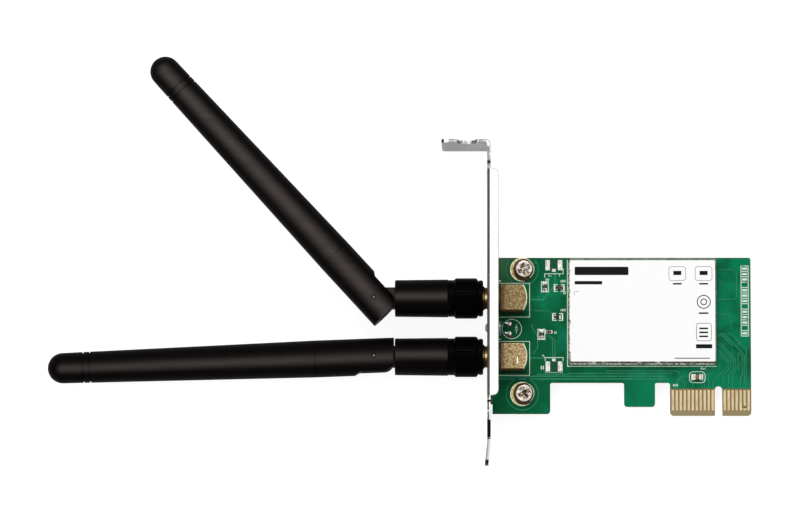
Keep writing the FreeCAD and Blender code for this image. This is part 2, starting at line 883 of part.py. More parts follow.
def make_bypass_capacitors():
    """The small capacitors around the chip under the shield."""
    x, y = shield_middle
    places = [(x + step * bypass_pitch, y + bypass_distance) for step in (-1, 1)]
    for side in (-1, 1):
        places += [(x + side * bypass_distance, y + step * bypass_pitch) for step in (-1, 0, 1)]
    size = (small_chip_length, small_chip_width, small_capacitor_height)
    return Part.makeCompound([chip_part(px, py, *size, turned_up=True) for px, py in places])


def make_wifi_chip():
    """The radio chip in the middle of the shield."""
    x, y = shield_middle
    return package(x, y, wifi_chip_side, wifi_chip_side, wifi_chip_height, wifi_chip_chamfer)


def make_crystal():
    """The crystal below the radio chip."""
    x, y = shield_middle
    return package(
        x - crystal_left, y - crystal_down, crystal_length, crystal_width, crystal_height, package_chamfer)


def make_memory_chip():
    """The memory chip at the shield's lower right."""
    x, y = shield_middle
    return package(
        x + memory_chip_right, y - memory_chip_down, memory_chip_length, memory_chip_width,
        memory_chip_height, memory_chip_chamfer)


def make_radio_amplifiers():
    """Two small amplifier packages, one for each antenna path."""
    x = shield_left + amplifier_inset
    y = shield_middle[1]
    return Part.makeCompound([
        package(x, place, amplifier_side, amplifier_side, amplifier_height, package_chamfer)
        for place in (y - amplifier_down, y + amplifier_up)])


def make_power_inductor():
    """A square inductor with a round wound core."""
    x = shield_right - inductor_inset
    y = shield_middle[1] + inductor_up
    base = package(x, y, inductor_side, inductor_side, inductor_base_height, package_chamfer)
    core_foot = half_board + inductor_base_height - package_chamfer
    core = rod(inductor_core_d / 2, vec(x, y, core_foot), vec(x, y, half_board + inductor_height))
    return joined(base, core)


def make_plug_core():
    """The plug's brass core: contact sleeve, flange inside the nut, and a barbed shank in the base."""
    flange_r = plug_flange_d / 2
    shank_r = plug_shank_d / 2
    sleeve_r = barrel_bore_d / 2 - running_clearance
    bore_r = plug_bore_d / 2
    cable_r = plug_cable_bore_d / 2
    sleeve_start = plug_flange_start - plug_sleeve_length
    flange_end = plug_flange_start + plug_flange_length
    head_start = base_start + plug_neck_in_base + axial_play
    head_end = head_start + plug_head_length
    bore_end = sleeve_start + socket_length + axial_play
    return outward([
        (sleeve_start, bore_r), (sleeve_start, sleeve_r), (plug_flange_start, sleeve_r),
        (plug_flange_start, flange_r), (flange_end, flange_r), (flange_end, shank_r),
        (head_start, shank_r), (head_start, plug_head_d / 2), (head_start + plug_head_land, plug_head_d / 2),
        (head_end, shank_r), (head_end, cable_r), (bore_end, cable_r), (bore_end, bore_r)])


def make_plug_insulator():
    """The insulating ring between the plug's sleeve and its centre socket."""
    start = plug_flange_start - plug_sleeve_length + axial_play
    end = start + plug_insulator_length
    outer_r = plug_bore_d / 2 - insulator_clearance
    inner_r = socket_d / 2 + insulator_clearance
    return outward([(start, inner_r), (start, outer_r), (end, outer_r), (end, inner_r)])


def make_plug_socket():
    """The centre socket that takes the jack's pin."""
    start = plug_flange_start - plug_sleeve_length + axial_play
    end = start + socket_length - axial_play
    outer_r = socket_d / 2
    bore_r = pin_d / 2 + running_clearance
    floor = start + socket_bore_depth
    return outward([
        (start, bore_r), (start, outer_r), (end, outer_r), (end, 0), (floor, 0), (floor, bore_r)])


def make_coupling_nut():
    """The knurled nut: a plain collar at each end and a grooved grip between them."""
    collar_end = nut_start + nut_collar_length
    collar_r = nut_collar_d / 2
    neck_r = collar_r - nut_neck_step
    grip_r = nut_grip_d / 2
    rear_r = nut_rear_d / 2
    bore_r = nut_bore_d / 2
    lip_r = plug_shank_d / 2 + running_clearance
    nut = outward([
        (nut_start, bore_r + nut_chamfer), (nut_start, collar_r - nut_chamfer),
        (nut_start + nut_chamfer, collar_r),
        (collar_end, collar_r), (collar_end, neck_r), (nut_grip_start, neck_r),
        (nut_grip_start, grip_r - nut_grip_chamfer), (nut_grip_start + nut_grip_chamfer, grip_r),
        (nut_grip_end - nut_grip_chamfer, grip_r), (nut_grip_end, grip_r - nut_grip_chamfer),
        (nut_grip_end, rear_r), (nut_end, rear_r), (nut_end, lip_r), (nut_lip_start, lip_r),
        (nut_lip_start, bore_r), (nut_start + nut_chamfer, bore_r)])
    floor = grip_r - grip_groove_depth
    mouth = grip_r + grip_groove_depth
    half = grip_groove_width / 2
    half_floor = grip_groove_floor_width / 2
    outer = face_out - nut_grip_start
    groove = prism([
        (outer, -half, mouth), (outer, half, mouth), (outer, half_floor, floor),
        (outer, -half_floor, floor)], vec(-nut_grip_length, 0, 0))
    grooves = []
    for number in range(grip_teeth):
        cutter = groove.copy()
        cutter.rotate(vec(0, 0, 0), X, 360 * number / grip_teeth)
        grooves.append(cutter)
    return nut.cut(Part.makeCompound(grooves))


def make_swivel_base():
    """The turning base: a hollow barrel around the plug's shank and a flat knuckle for the hinge."""
    front_r = base_front_d / 2
    rear_r = base_rear_d / 2
    cavity_start = base_start + plug_neck_in_base
    cavity_end = cavity_start + base_cavity_length
    bore_r = plug_shank_d / 2 + running_clearance
    cavity_r = plug_head_d / 2 + running_clearance
    barrel = outward([
        (base_start, bore_r), (base_start, front_r - base_front_chamfer),
        (base_start + base_front_chamfer, front_r), (base_end - base_rear_chamfer, rear_r),
        (base_end, rear_r - base_rear_chamfer), (base_end, 0), (cavity_end, 0),
        (cavity_end, cavity_r), (cavity_start, cavity_r), (cavity_start, bore_r)])
    half_width = knuckle_width / 2
    half_thick = knuckle_thickness / 2
    inside = face_out - base_end + base_rear_chamfer + running_clearance
    knuckle = box(pivot_x, inside, -half_width, half_width, -half_thick, half_thick)
    eye = rod(half_width, vec(pivot_x, 0, -half_thick), vec(pivot_x, 0, half_thick))
    base = joined(barrel, knuckle, eye)
    channel_end = pivot_x - knuckle_width
    base = base.cut(rod(
        cable_channel_d / 2, vec(channel_end, 0, 0), vec(face_out - cavity_end + 1, 0, 0)))
    hole_r = pivot_pin_d / 2 + running_clearance
    return base.cut(rod(hole_r, vec(pivot_x, 0, -fork_d), vec(pivot_x, 0, fork_d)))


def make_hinge_fork(side):
    """The fork: two cheeks and a back wall around the knuckle, relieved on the side it folds to."""
    sign = fold_side[side]
    radius = fork_d / 2
    start = pivot_x + fork_behind
    end = pivot_x - fork_ahead
    body = rod(radius, vec(start, 0, 0), vec(end, 0, 0))
    relief_end = pivot_x - fork_relief_start
    tall = vec(0, 0, 2 * fork_d)
    relief = prism([
        (start + 1, sign * fork_relief, -fork_d),
        (relief_end, sign * fork_relief, -fork_d),
        (relief_end - fork_relief_run, sign * radius, -fork_d),
        (relief_end - fork_relief_run, sign * fork_d, -fork_d),
        (start + 1, sign * fork_d, -fork_d),
    ], tall)
    body = body.cut(relief)
    corner_y = fork_relief - fork_corner_r
    stop = pivot_x + fork_behind_at_relief
    body = body.cut(prism([
        (start, -sign * radius, -fork_d), (stop, sign * corner_y, -fork_d),
        (stop, sign * fork_d, -fork_d), (start + 1, sign * fork_d, -fork_d),
        (start + 1, -sign * radius, -fork_d),
    ], tall))
    corner = vec(stop - fork_corner_r, sign * corner_y, -fork_d)
    square = box(corner.x, start + 1, corner.y, sign * fork_d, -fork_d, fork_d)
    body = body.cut(square.cut(rod(fork_corner_r, corner, corner + tall)))
    gap = knuckle_thickness / 2 + fork_slot_clearance
    wall = knuckle_width / 2 + fork_slot_clearance
    body = body.cut(box(start + 1, pivot_x - fork_slot_ahead, -sign * wall, sign * fork_d, -gap, gap))
    spigot = rod(spigot_d / 2, vec(end + 1, 0, 0), vec(end - spigot_length, 0, 0))
    body = joined(body, spigot)
    body = body.cut(rod(cable_channel_d / 2, vec(pivot_x, 0, 0), vec(end - spigot_length - 1, 0, 0)))
    seat = end + radiator_seat_depth
    body = body.cut(rod(
        radiator_tube_d / 2 + spigot_clearance, vec(seat, 0, 0), vec(end - spigot_length - 1, 0, 0)))
    pin_r = pivot_pin_d / 2 + pin_clearance
    return body.cut(rod(pin_r, vec(pivot_x, 0, -fork_d), vec(pivot_x, 0, fork_d)))


def make_hinge_pins():
    """Two short pins in the cheeks; the cable passes between them."""
    outer = fork_d / 2 - pivot_pin_recess
    inner = knuckle_thickness / 2 - pivot_pin_grip
    pin_r = pivot_pin_d / 2
    return Part.makeCompound([
        rod(pin_r, vec(pivot_x, 0, sign * inner), vec(pivot_x, 0, sign * outer)) for sign in (-1, 1)])


def make_antenna_sleeve():
    """The tapered hollow sleeve with its domed tip and two ring grooves."""
    start = pivot_x - fork_ahead
    tip = pivot_x - tip_distance
    root_r = sleeve_root_d / 2
    tip_r = sleeve_tip_d / 2
    dome_x = tip + tip_r
    slope = (root_r - tip_r) / (start - dome_x)
    mouth_r = spigot_d / 2 + spigot_clearance
    spigot_end = start - spigot_length - axial_play
    inner_end = dome_x + sleeve_wall

    def outer_r(x):
        return tip_r + slope * (x - dome_x)

    dome_mid = vec(dome_x - tip_r * math.sin(math.pi / 4), tip_r * math.cos(math.pi / 4), 0)
    side = Part.makePolygon([
        vec(dome_x, tip_r, 0), vec(start - sleeve_mouth_chamfer, root_r, 0),
        vec(start, root_r - sleeve_mouth_chamfer, 0),
        vec(start, mouth_r, 0), vec(spigot_end, mouth_r, 0),
        vec(spigot_end, outer_r(spigot_end) - sleeve_wall, 0),
        vec(inner_end, outer_r(inner_end) - sleeve_wall, 0), vec(inner_end, 0, 0), vec(tip, 0, 0)])
    dome = Part.Arc(vec(tip, 0, 0), dome_mid, vec(dome_x, tip_r, 0)).toShape()
    sleeve = Part.Face(Part.Wire([dome, side])).revolve(vec(0, 0, 0), X, 360)
    for number in range(2):
        x = tip + ring_groove_from_tip + number * ring_groove_spacing
        ring_r = outer_r(x)
        ring = turned([
            (x - ring_groove_width / 2, ring_r + 1), (x + ring_groove_width / 2, ring_r + 1),
            (x + ring_groove_width / 2, ring_r - ring_groove_depth),
            (x - ring_groove_width / 2, ring_r - ring_groove_depth)])
        sleeve = sleeve.cut(ring)
    return sleeve


def make_radiator():
    """The dipole: a brass tube seated in the fork and a thin rod out of its far end."""
    start = pivot_x - fork_ahead + radiator_seat_depth
    tube_end = start - radiator_tube_length
    outer_r = radiator_tube_d / 2
    bore_r = radiator_tube_bore_d / 2
    rod_r = radiator_rod_d / 2
    return turned([
        (start, bore_r), (start, outer_r), (tube_end, outer_r), (tube_end, rod_r),
        (tube_end - radiator_rod_length, rod_r), (tube_end - radiator_rod_length, 0),
        (tube_end + radiator_tube_floor, 0), (tube_end + radiator_tube_floor, bore_r)])


def place_antenna(shape, side, folded=False):
    """Put a piece that was made on the X axis on its jack's axis, folding the blade's pieces."""
    placed = shape.copy()
    if folded:
        placed.rotate(vec(pivot_x, 0, 0), Z, -fold_side[side] * fold_angle[side])
    placed.translate(vec(0, jack_y[side], jack_z))
    return placed


def make_antenna(side):
    """All pieces of one antenna, by node name."""
    fixed = {
        "coupling_nut": make_coupling_nut(),
        "plug_core": make_plug_core(),
        "plug_insulator": make_plug_insulator(),
        "plug_socket": make_plug_socket(),
        "swivel_base": make_swivel_base(),
    }
    blade = {
        "hinge_fork": make_hinge_fork(side),
        "hinge_pins": make_hinge_pins(),
        "antenna_sleeve": make_antenna_sleeve(),
        "radiator": make_radiator(),
    }
    nodes = {f"{side}_{name}": place_antenna(shape, side) for name, shape in fixed.items()}
    nodes.update({f"{side}_{name}": place_antenna(shape, side, True) for name, shape in blade.items()})
    return nodes


def make_card():
    """All pieces of the card itself, by node name."""
    nodes = {
        "circuit_board": make_circuit_board(),
        "edge_contacts": make_edge_contacts(),
        "bracket": make_bracket(),
        "board_screws": Part.makeCompound([make_board_screw(sx, sy) for sx, sy in screw_places]),
        "lock_washers": Part.makeCompound([make_lock_washer(sx, sy) for sx, sy in screw_places]),
        "led_lens": make_led_lens(),
        "led_leads": make_led_leads(),
        "shield_frame": make_shield_frame(),
        "shield_lid": make_shield_lid(),
        "label": make_label(),
        "wifi_chip": make_wifi_chip(),
        "crystal": make_crystal(),
        "memory_chip": make_memory_chip(),
        "radio_amplifiers": make_radio_amplifiers(),
        "power_inductor": make_power_inductor(),
        "chip_capacitors": make_chip_capacitors(),
        "chip_resistors": make_chip_resistors(),
        "bypass_capacitors": make_bypass_capacitors(),
    }
    for side in jack_y:
        nodes[f"{side}_jack_body"] = make_jack_body(side)
        nodes[f"{side}_jack_insulator"] = make_jack_insulator(side)
        nodes[f"{side}_jack_pin"] = make_jack_pin(side)
    return nodes


def main():
    os.makedirs("parts", exist_ok=True)
    nodes = make_card()
    for side in jack_y:
        nodes.update(make_antenna(side))
    for name, shape in nodes.items():
        shape.exportStep(f"parts/{name}.step")
        print(name, len(shape.Solids), "solid(s), valid", shape.isValid(), "volume", round(shape.Volume, 2))


main()
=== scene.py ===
"""The looks of a low-profile PCI Express radio card with two folding antennas.

The card lies flat, component side up. Lengths in this file are millimetres until they are made into
meshes: MM turns them into metres. Places that follow from a solid's box are read from the solids in
model.glb.
"""

import math
import random

import bmesh
import bpy
from mathutils import Euler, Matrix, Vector


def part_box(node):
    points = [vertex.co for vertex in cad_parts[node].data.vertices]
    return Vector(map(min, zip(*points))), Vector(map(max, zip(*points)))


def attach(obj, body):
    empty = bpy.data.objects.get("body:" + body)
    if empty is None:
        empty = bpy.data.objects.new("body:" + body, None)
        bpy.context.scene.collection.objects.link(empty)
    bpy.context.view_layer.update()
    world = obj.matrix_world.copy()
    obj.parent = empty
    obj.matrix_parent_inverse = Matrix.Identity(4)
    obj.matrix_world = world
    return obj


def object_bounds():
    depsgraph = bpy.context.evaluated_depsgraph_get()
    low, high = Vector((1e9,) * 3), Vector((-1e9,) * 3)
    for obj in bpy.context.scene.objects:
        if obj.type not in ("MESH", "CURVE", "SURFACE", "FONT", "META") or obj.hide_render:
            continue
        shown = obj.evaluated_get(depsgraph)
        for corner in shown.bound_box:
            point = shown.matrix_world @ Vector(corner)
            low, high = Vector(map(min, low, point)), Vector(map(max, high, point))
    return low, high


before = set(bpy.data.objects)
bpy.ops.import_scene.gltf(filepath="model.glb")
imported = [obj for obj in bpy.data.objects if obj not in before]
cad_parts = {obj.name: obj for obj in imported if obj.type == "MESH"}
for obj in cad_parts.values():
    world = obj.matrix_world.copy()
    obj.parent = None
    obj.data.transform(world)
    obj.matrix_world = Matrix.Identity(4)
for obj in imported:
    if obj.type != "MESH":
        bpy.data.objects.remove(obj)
cad_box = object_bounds()

MM = 0.001
SIDES = ("upper", "lower")
random.seed(7)


# Shader values and materials

class Value:
    """A shader value. Arithmetic on it adds nodes and gives a new value."""

    def __init__(self, nodes, socket):
        self.nodes = nodes
        self.socket = socket

    def math(self, operation, *others):
        return self.nodes.node("Math", dict(enumerate((self, *others))), operation=operation)

    def __add__(self, other):
        return self.math("ADD", other)

    def __sub__(self, other):
        return self.math("SUBTRACT", other)

    def __mul__(self, other):
        return self.math("MULTIPLY", other)

    def __pow__(self, other):
        return self.math("POWER", other)

    def __abs__(self):
        return self.math("ABSOLUTE")

    def most(self, other):
        return self.math("MAXIMUM", other)

    def least(self, other):
        return self.math("MINIMUM", other)

    def distance(self, other):
        """Length of the vector that has this value and another as its parts."""
        return (self ** 2.0 + other ** 2.0).math("SQRT")

    def step(self, start, end):
        """From 0 to 1 as this value goes from start to end."""
        return self.nodes.node("MapRange", {"Value": self, "From Min": start, "From Max": end})

    def ramp(self, *stops):
        """A colour or a grey along this value, from (position, colour) stops."""
        made = self.nodes.node("ValToRGB", {"Fac": self})
        points = made.socket.node.color_ramp.elements
        while len(points) < len(stops):
            points.new(0.5)
        for point, (position, value) in zip(points, stops):
            point.position = position
            point.color = opaque(value)
        return made

    def blend(self, low, high, start=0.3, end=0.7):
        """From one colour or grey to another as this value goes from start to end."""
        return self.ramp((start, low), (end, high))

    def mix(self, low, high, blend="MIX"):
        """From one colour to another as this value goes from 0 to 1."""
        inputs = {0: self, 6: low, 7: high}
        return self.nodes.node("Mix", inputs, 2, data_type="RGBA", blend_type=blend)


def opaque(color):
    return (*color, 1.0) if hasattr(color, "__len__") else (color, color, color, 1.0)


class Nodes:
    """A node tree that gives its outputs back as values."""

    def __init__(self, tree):
        self.tree = tree

    def put(self, socket, value):
        if isinstance(value, Value):
            self.tree.links.new(value.socket, socket)
        elif socket.type == "RGBA":
            socket.default_value = opaque(value)
        else:
            socket.default_value = value

    def node(self, kind, inputs=None, output=0, **settings):
        made = self.tree.nodes.new("ShaderNode" + kind)
        for key, value in settings.items():
            setattr(made, key, value)
        for key, value in (inputs or {}).items():
            self.put(made.inputs[key], value)
        return Value(self, made.outputs[output])


class Look(Nodes):
    """One procedural material."""

    def __init__(self, name, color, roughness, metallic=0.0, **constants):
        self.material = bpy.data.materials.new(name)
        self.material.use_nodes = True
        super().__init__(self.material.node_tree)
        self.bumped = None
        self.set("Base Color", color)
        self.set("Roughness", roughness)
        self.set("Metallic", metallic)
        for key, value in constants.items():
            self.set(key.replace("_", " "), value)

    def set(self, key, value):
        self.put(self.tree.nodes["Principled BSDF"].inputs[key], value)

    def place(self, stretch=(1, 1, 1), turn=(0, 0, 0), kind="Object"):
        """Coordinates in millimetres on the piece itself, or its normal, stretched and turned."""
        scale = tuple(s / MM for s in stretch) if kind == "Object" else stretch
        spot = self.node("TexCoord", output=kind)
        return self.node("Mapping", {"Vector": spot, "Scale": scale, "Rotation": turn})

    def axis(self, name):
        """One coordinate in millimetres on the piece."""
        return self.node("SeparateXYZ", {"Vector": self.place()}, name)

    def normal(self, name, lean=0.0):
        """One part of the surface's own normal, turned about X by an angle."""
        return self.node("SeparateXYZ", {"Vector": self.place(turn=(-lean, 0, 0), kind="Normal")}, name)

    def noise(self, scale, detail=4.0, rough=0.5, stretch=(1, 1, 1), warp=0.0):
        return self.node("TexNoise", {"Vector": self.place(stretch), "Scale": scale, "Detail": detail,
                                      "Roughness": rough, "Distortion": warp})

    def wave(self, scale, direction):
        inputs = {"Vector": self.place(), "Scale": scale, "Distortion": 0.0}
        return self.node("TexWave", inputs, "Fac", bands_direction=direction)

    def bump(self, height, depth):
        """Raise the surface by up to a depth in millimetres; later calls add to earlier ones."""
        inputs = {"Height": height, "Distance": depth * MM, "Strength": 1.0}
        if self.bumped:
            inputs["Normal"] = self.bumped
        self.bumped = self.node("Bump", inputs)
        self.set("Normal", self.bumped)

    def complete(self, color, roughness, *bumps):
        """The material, with its colour, its roughness and its (height, depth) bumps."""
        self.set("Base Color", color)
        self.set("Roughness", roughness)
        for height, depth in bumps:
            self.bump(height, depth)
        return self.material

    def finish(self, color, low, high, scale, *bump, **where):
        """The material, with a roughness that wanders between two values, and one (height, depth) bump."""
        return self.complete(color, self.noise(scale, **where).blend(low, high), bump)


def make_mask():
    """Green solder mask over weave and copper on both faces, bare laminate at the edges and the tongue;
    painted light: a paler sheen at the upper left, shadow below the jacks and a paler left edge.
    """
    look = Look("solder_mask", (0.003, 0.15, 0.06), 0.34, Specular_IOR_Level=0.05)
    x, y = look.axis("X"), look.axis("Y")
    cloud = look.noise(0.11, 2.0, warp=0.4) + x.step(board_low.x, board_high.x) * 0.3
    pour = cloud.blend((0.0005, 0.1, 0.036), (0.0014, 0.185, 0.084), 0.62, 0.8)
    weave = look.wave(1.1, "X") * look.wave(1.1, "Y")
    mask = (weave * 0.1).mix(pour, (0.01, 0.19, 0.085))
    # painted sheen: the mask is painted paler towards its upper left corner
    corner = x.step(-48.5, -52.0) * y.step(31.0, 37.0)
    mask = (corner * 0.5).mix(mask, (0.095, 0.19, 0.1))
    # painted shadow: the mask is darkened just below the front of each jack
    for side in SIDES:
        under = abs(y - (jack_low[side].y - 0.15)).step(0.55, 0.3)
        under *= x.step(jack_high[side].x, jack_high[side].x - 0.4)
        mask = (under * 0.75).mix(mask, (0.004, 0.022, 0.005))
    right, top = (part.step(end - 0.2, end - 0.1) for part, end in ((x, board_high.x), (y, board_high.y)))
    border = right.most(top)
    mask = (border * 0.75).mix(mask, (0.095, 0.085, 0.045))
    fibre = look.noise(1.2, 5.0, 0.7, stretch=(1, 1, 14))
    edge = fibre.blend((0.02, 0.04, 0.016), (0.115, 0.115, 0.055), 0.35, 0.7)
    # painted light: the board's edge that faces -X is painted paler where the bracket shades it
    painted_light_edge = fibre.blend((0.16, 0.24, 0.12), (0.42, 0.48, 0.32))
    edge = look.normal("X").step(-0.5, -0.8).mix(edge, painted_light_edge)
    bare = look.noise(2.5).blend((0.17, 0.105, 0.045), (0.29, 0.185, 0.085))
    ground = look.noise(1.2, 5.0, 0.7, stretch=(1, 6, 6))
    bevel = ground.blend((0.27, 0.22, 0.11), (0.48, 0.41, 0.23), 0.3, 0.75)
    facing = abs(look.normal("Z"))
    flat = facing.step(0.93, 0.97)
    masked = y.step(MASK_EDGE - 0.06, MASK_EDGE + 0.06).most(x.step(TONGUE_LEFT - 0.3, TONGUE_LEFT - 0.4))
    below = facing.step(0.3, 0.5).mix(edge, bevel)
    gloss = look.noise(0.5, 3.0).blend(0.26, 0.4, 0.35, 0.7)
    return look.complete(flat.mix(below, masked.mix(bare, mask)), (flat * masked).mix(0.6, gloss),
                         (look.noise(1.6), 0.006), (weave, 0.003))


def make_metal(name, color, roughness, spread=0.12, tint=None, stretch=(1, 1, 1), scale=3.0):
    """A plain plated metal with cloudy gloss, a second tint and a fine grain."""
    look = Look(name, color, roughness, 1.0)
    second = tint or tuple(c * 0.86 for c in color)
    clouds = look.noise(scale * 0.35, 5.0, 0.6, stretch).blend(second, color, 0.32, 0.62)
    return look.finish(clouds, roughness - spread / 2, roughness + spread / 2, scale,
                       look.noise(scale * 4, 4.0, 0.65, stretch), 0.004, stretch=stretch)


def make_gold_contacts():
    """Hard gold with the fine scratches of a few insertions, painted darker along each contact's sides as
    shade.
    """
    look = Look("contact_gold", (0.83, 0.7, 0.42), 0.3, 1.0)
    from_middle = look.axis("X") - (TONGUE_LEFT + 0.35)
    # painted shade: each contact is painted darker along its two sides
    edge = abs(from_middle - from_middle.math("ROUND")).step(0.2, 0.33)
    tone = look.noise(0.8, 3.0, stretch=(3, 0.5, 1))
    plate = tone.blend((0.48, 0.385, 0.225), (0.65, 0.55, 0.345), 0.3, 0.65)
    color = (edge * 0.85).mix(plate, (0.34, 0.25, 0.13))
    scratches = look.noise(5.0, 3.0, 0.7, stretch=(6, 0.35, 1))
    return look.complete(color, scratches.blend(0.22, 0.42, 0.35, 0.7), (scratches, 0.004))


def round_gold(look):
    """Gold on a barrel with painted light: a painted highlight along its top and bottom line, painted brown
    shade towards its sides.
    """
    return abs(look.normal("Z")).ramp((0.5, (0.02, 0.009, 0.003)), (0.9, (0.08, 0.042, 0.013)),
                                      (0.975, (0.22, 0.125, 0.042)), (0.998, (0.88, 0.68, 0.36)))


def make_barrel_gold():
    """The gilt threads: grime on gold with a painted highlight, and painted brown shade between their
    ridges.
    """
    look = Look("barrel_gold", (0.78, 0.56, 0.24), 0.3, 1.0)
    grime = look.noise(1.4, 4.0, 0.6).step(0.52, 0.66) * 0.5
    color = grime.mix(round_gold(look), (0.1, 0.055, 0.018))
    return look.finish(color, 0.22, 0.36, 1.5, look.noise(6.0, 3.0), 0.006)


def make_cast_gold():
    """Gilt die casting, blasted rough: mottled brown on top, a painted highlight on its right side, painted
    shade on its front and next to the bracket wall.
    """
    look = Look("cast_gold", (0.36, 0.27, 0.13), 0.45, 0.9)
    x, y = look.axis("X"), look.axis("Y")
    blotches = look.noise(2.3, 6.0, 0.8, warp=0.7)
    fine = look.noise(5.5, 4.0, 0.7)
    color = blotches.ramp((0.38, (0.05, 0.028, 0.01)), (0.46, (0.18, 0.115, 0.048)),
                          (0.53, (0.36, 0.255, 0.125)), (0.62, (0.66, 0.53, 0.31)))
    color = (fine.step(0.55, 0.75) * 0.6).mix(color, (0.6, 0.5, 0.3))
    # painted shade: the jack is darkened next to the bracket wall
    near_wall = x.step(FACE_IN + 3.6, FACE_IN + 3.2)
    color = (near_wall * 0.6).mix(color, (0.075, 0.052, 0.02))
    browner = y.step(21.0, 23.0)
    color = (browner * 0.9).mix(color, (0.66, 0.65, 0.58), "MULTIPLY")
    # a pale streak on the top of the lower jack
    pale_streak = abs(x - (jack_high["lower"].x - 2.44)).step(0.16, 0.08)
    pale_streak *= abs(y - (jack_y["lower"] - 1.1)).step(0.9, 0.6)
    color = (pale_streak * look.normal("Z").step(0.9, 0.95)).mix(color, (0.92, 0.88, 0.72))
    # painted highlight: the side that faces +X is painted pale cream
    color = look.normal("X").step(0.15, 0.45).mix(color, (0.98, 0.94, 0.76))
    # painted shade: the front, the side that faces -Y, is painted dark
    color = look.normal("Y").step(-0.2, -0.6).mix(color, (0.115, 0.062, 0.013))
    # the threaded barrel outside the bracket takes the painted highlight and shade of round_gold
    outside = x.step(FACE_OUT + 0.05, FACE_OUT - 0.05)
    return look.complete(outside.mix(color, round_gold(look)), blotches.blend(0.34, 0.58),
                         (blotches, 0.09), (fine, 0.02))


def make_black_plastic(name, color=(0.0018, 0.0012, 0.001), roughness=0.5, texture=0.012, gloss=0.02,
                       painted_highlight=None, lean=0.126, tight=30.0):
    """Satin black moulded plastic, finely eroded; its upper and lower side can carry a painted highlight, a
    paler band by the surface's own normal.
    """
    look = Look(name, color, roughness, Specular_IOR_Level=gloss)
    flow = look.noise(0.12, 3.0, stretch=(0.3, 1, 1))
    base = flow.blend(tuple(c * 0.6 for c in color), color, 0.35, 0.7)
    # painted highlight: a paler band where the surface's own normal, leaned about X, points up or down,
    # patchy along its length
    if painted_highlight:
        patchy_painted_band = look.noise(0.9, 3.0, stretch=(0.15, 1, 1)).blend(0.8, 1.0)
        base = (abs(look.normal("Z", lean)) ** tight * patchy_painted_band).mix(base, painted_highlight)
    look.finish(base, roughness - 0.04, roughness + 0.04, 0.5, look.noise(9.0, 4.0, 0.6), texture)
    look.bump(look.noise(1.1, 2.0), texture * 0.6)
    return look.material


def color_tab_edge(x, y, sheared):
    """The cut edge of the bracket's tab: mottled, with a painted dark outline, painted highlights at its
    ends and painted grey shade at the bend.
    """
    color = sheared.ramp((0.36, (0.22, 0.21, 0.19)), (0.48, (0.46, 0.45, 0.42)), (0.6, (0.76, 0.75, 0.73)))
    # painted dark outline along the tab's cut edge, away from the slot
    rise = y - TAB_UNDER
    line = rise.step(SHEET - 0.26, SHEET - 0.14).most(rise.step(0.3, 0.16) * rise.step(-0.1, 0.0))
    beside_slot = abs(x - (FACE_OUT - TAB_SLOT_OUT)).step(2.5, 3.3)
    color = (line * beside_slot * 0.7).mix(color, (0.1, 0.095, 0.085))
    # painted highlights at both ends of the tab's edge
    at_end = x.step(bracket_low.x + 1.9, bracket_low.x + 1.7)
    painted_end_highlights = at_end.most(x.step(FACE_OUT - 0.35, FACE_OUT - 0.1))
    color = (painted_end_highlights * 0.85).mix(color, (0.92, 0.92, 0.91))
    # painted grey shade at the bend
    bend_x, bend_y = FACE_OUT - BEND_R, TAB_UNDER - BEND_R
    swing = (x - bend_x).most(0.0).distance((y - bend_y).most(0.0))
    at_bend = swing.step(BEND_R + SHEET - 0.3, BEND_R + SHEET - 0.18) * x.step(bend_x, bend_x + 0.1)
    return at_bend.mix(color, (0.36, 0.355, 0.35))


def color_cut_edge(x, y, sheared):
    """The bracket's cut edge from tab to tongue: grey above, pale below, with a painted dark reflection as
    its left line, painted light across the tongue and three dark spots of painted shadow.
    """
    neck = sheared.ramp((0.36, (0.24, 0.235, 0.22)), (0.5, (0.5, 0.5, 0.48)), (0.64, (0.8, 0.8, 0.78)))
    low = sheared.ramp((0.36, (0.42, 0.41, 0.39)), (0.46, (0.72, 0.72, 0.69)), (0.56, (0.9, 0.9, 0.88)))
    # painted dark reflection: a line along the outer side of the cut edge
    left_line = abs(x - (FACE_OUT + 0.26)).step(0.24, 0.14) * sheared.step(0.64, 0.54)
    low = left_line.mix(low, (0.02, 0.014, 0.011))
    neck = (left_line * 0.6).mix(neck, (0.08, 0.075, 0.065))
    # painted light: the tongue's edge grey on its left, pale on its right
    across_tongue = (x - y * 0.09).step(TONGUE_MID - 0.02, TONGUE_MID + 0.26)
    tongue = across_tongue.mix((0.3, 0.3, 0.29), (0.66, 0.66, 0.64))
    edge = y.step(TAB_UNDER - 1.2, TAB_UNDER - 0.6).mix(neck, color_tab_edge(x, y, sheared))
    edge = y.step(20.5, 19.5).mix(edge, low)
    edge = y.step(TONGUE_TOP + 0.1, TONGUE_TOP - 0.1).mix(edge, tongue)
    # painted shadow: three dark spots on the cut edge
    for spot, half in ((62.4, 0.32), (2.7, 0.3), (TONGUE_TOP - 0.08, 0.14)):
        edge = abs(y - spot).step(half + 0.08, half - 0.05).mix(edge, (0.012, 0.012, 0.008))
    return edge


def near_flange_rim(x, y):
    """1 along the rounded outline of the bracket's side flange."""
    past_x = (x - (FLANGE_EDGE - FLANGE_R)).most(0.0)
    past_y = abs(y - (FLANGE_LOW + FLANGE_HIGH) / 2) - ((FLANGE_HIGH - FLANGE_LOW) / 2 - FLANGE_R)
    reach = past_x.distance(past_y.most(0.0))
    return reach.step(FLANGE_R - 0.24, FLANGE_R - 0.14) * x.step(FACE_IN, FACE_IN + 0.05)


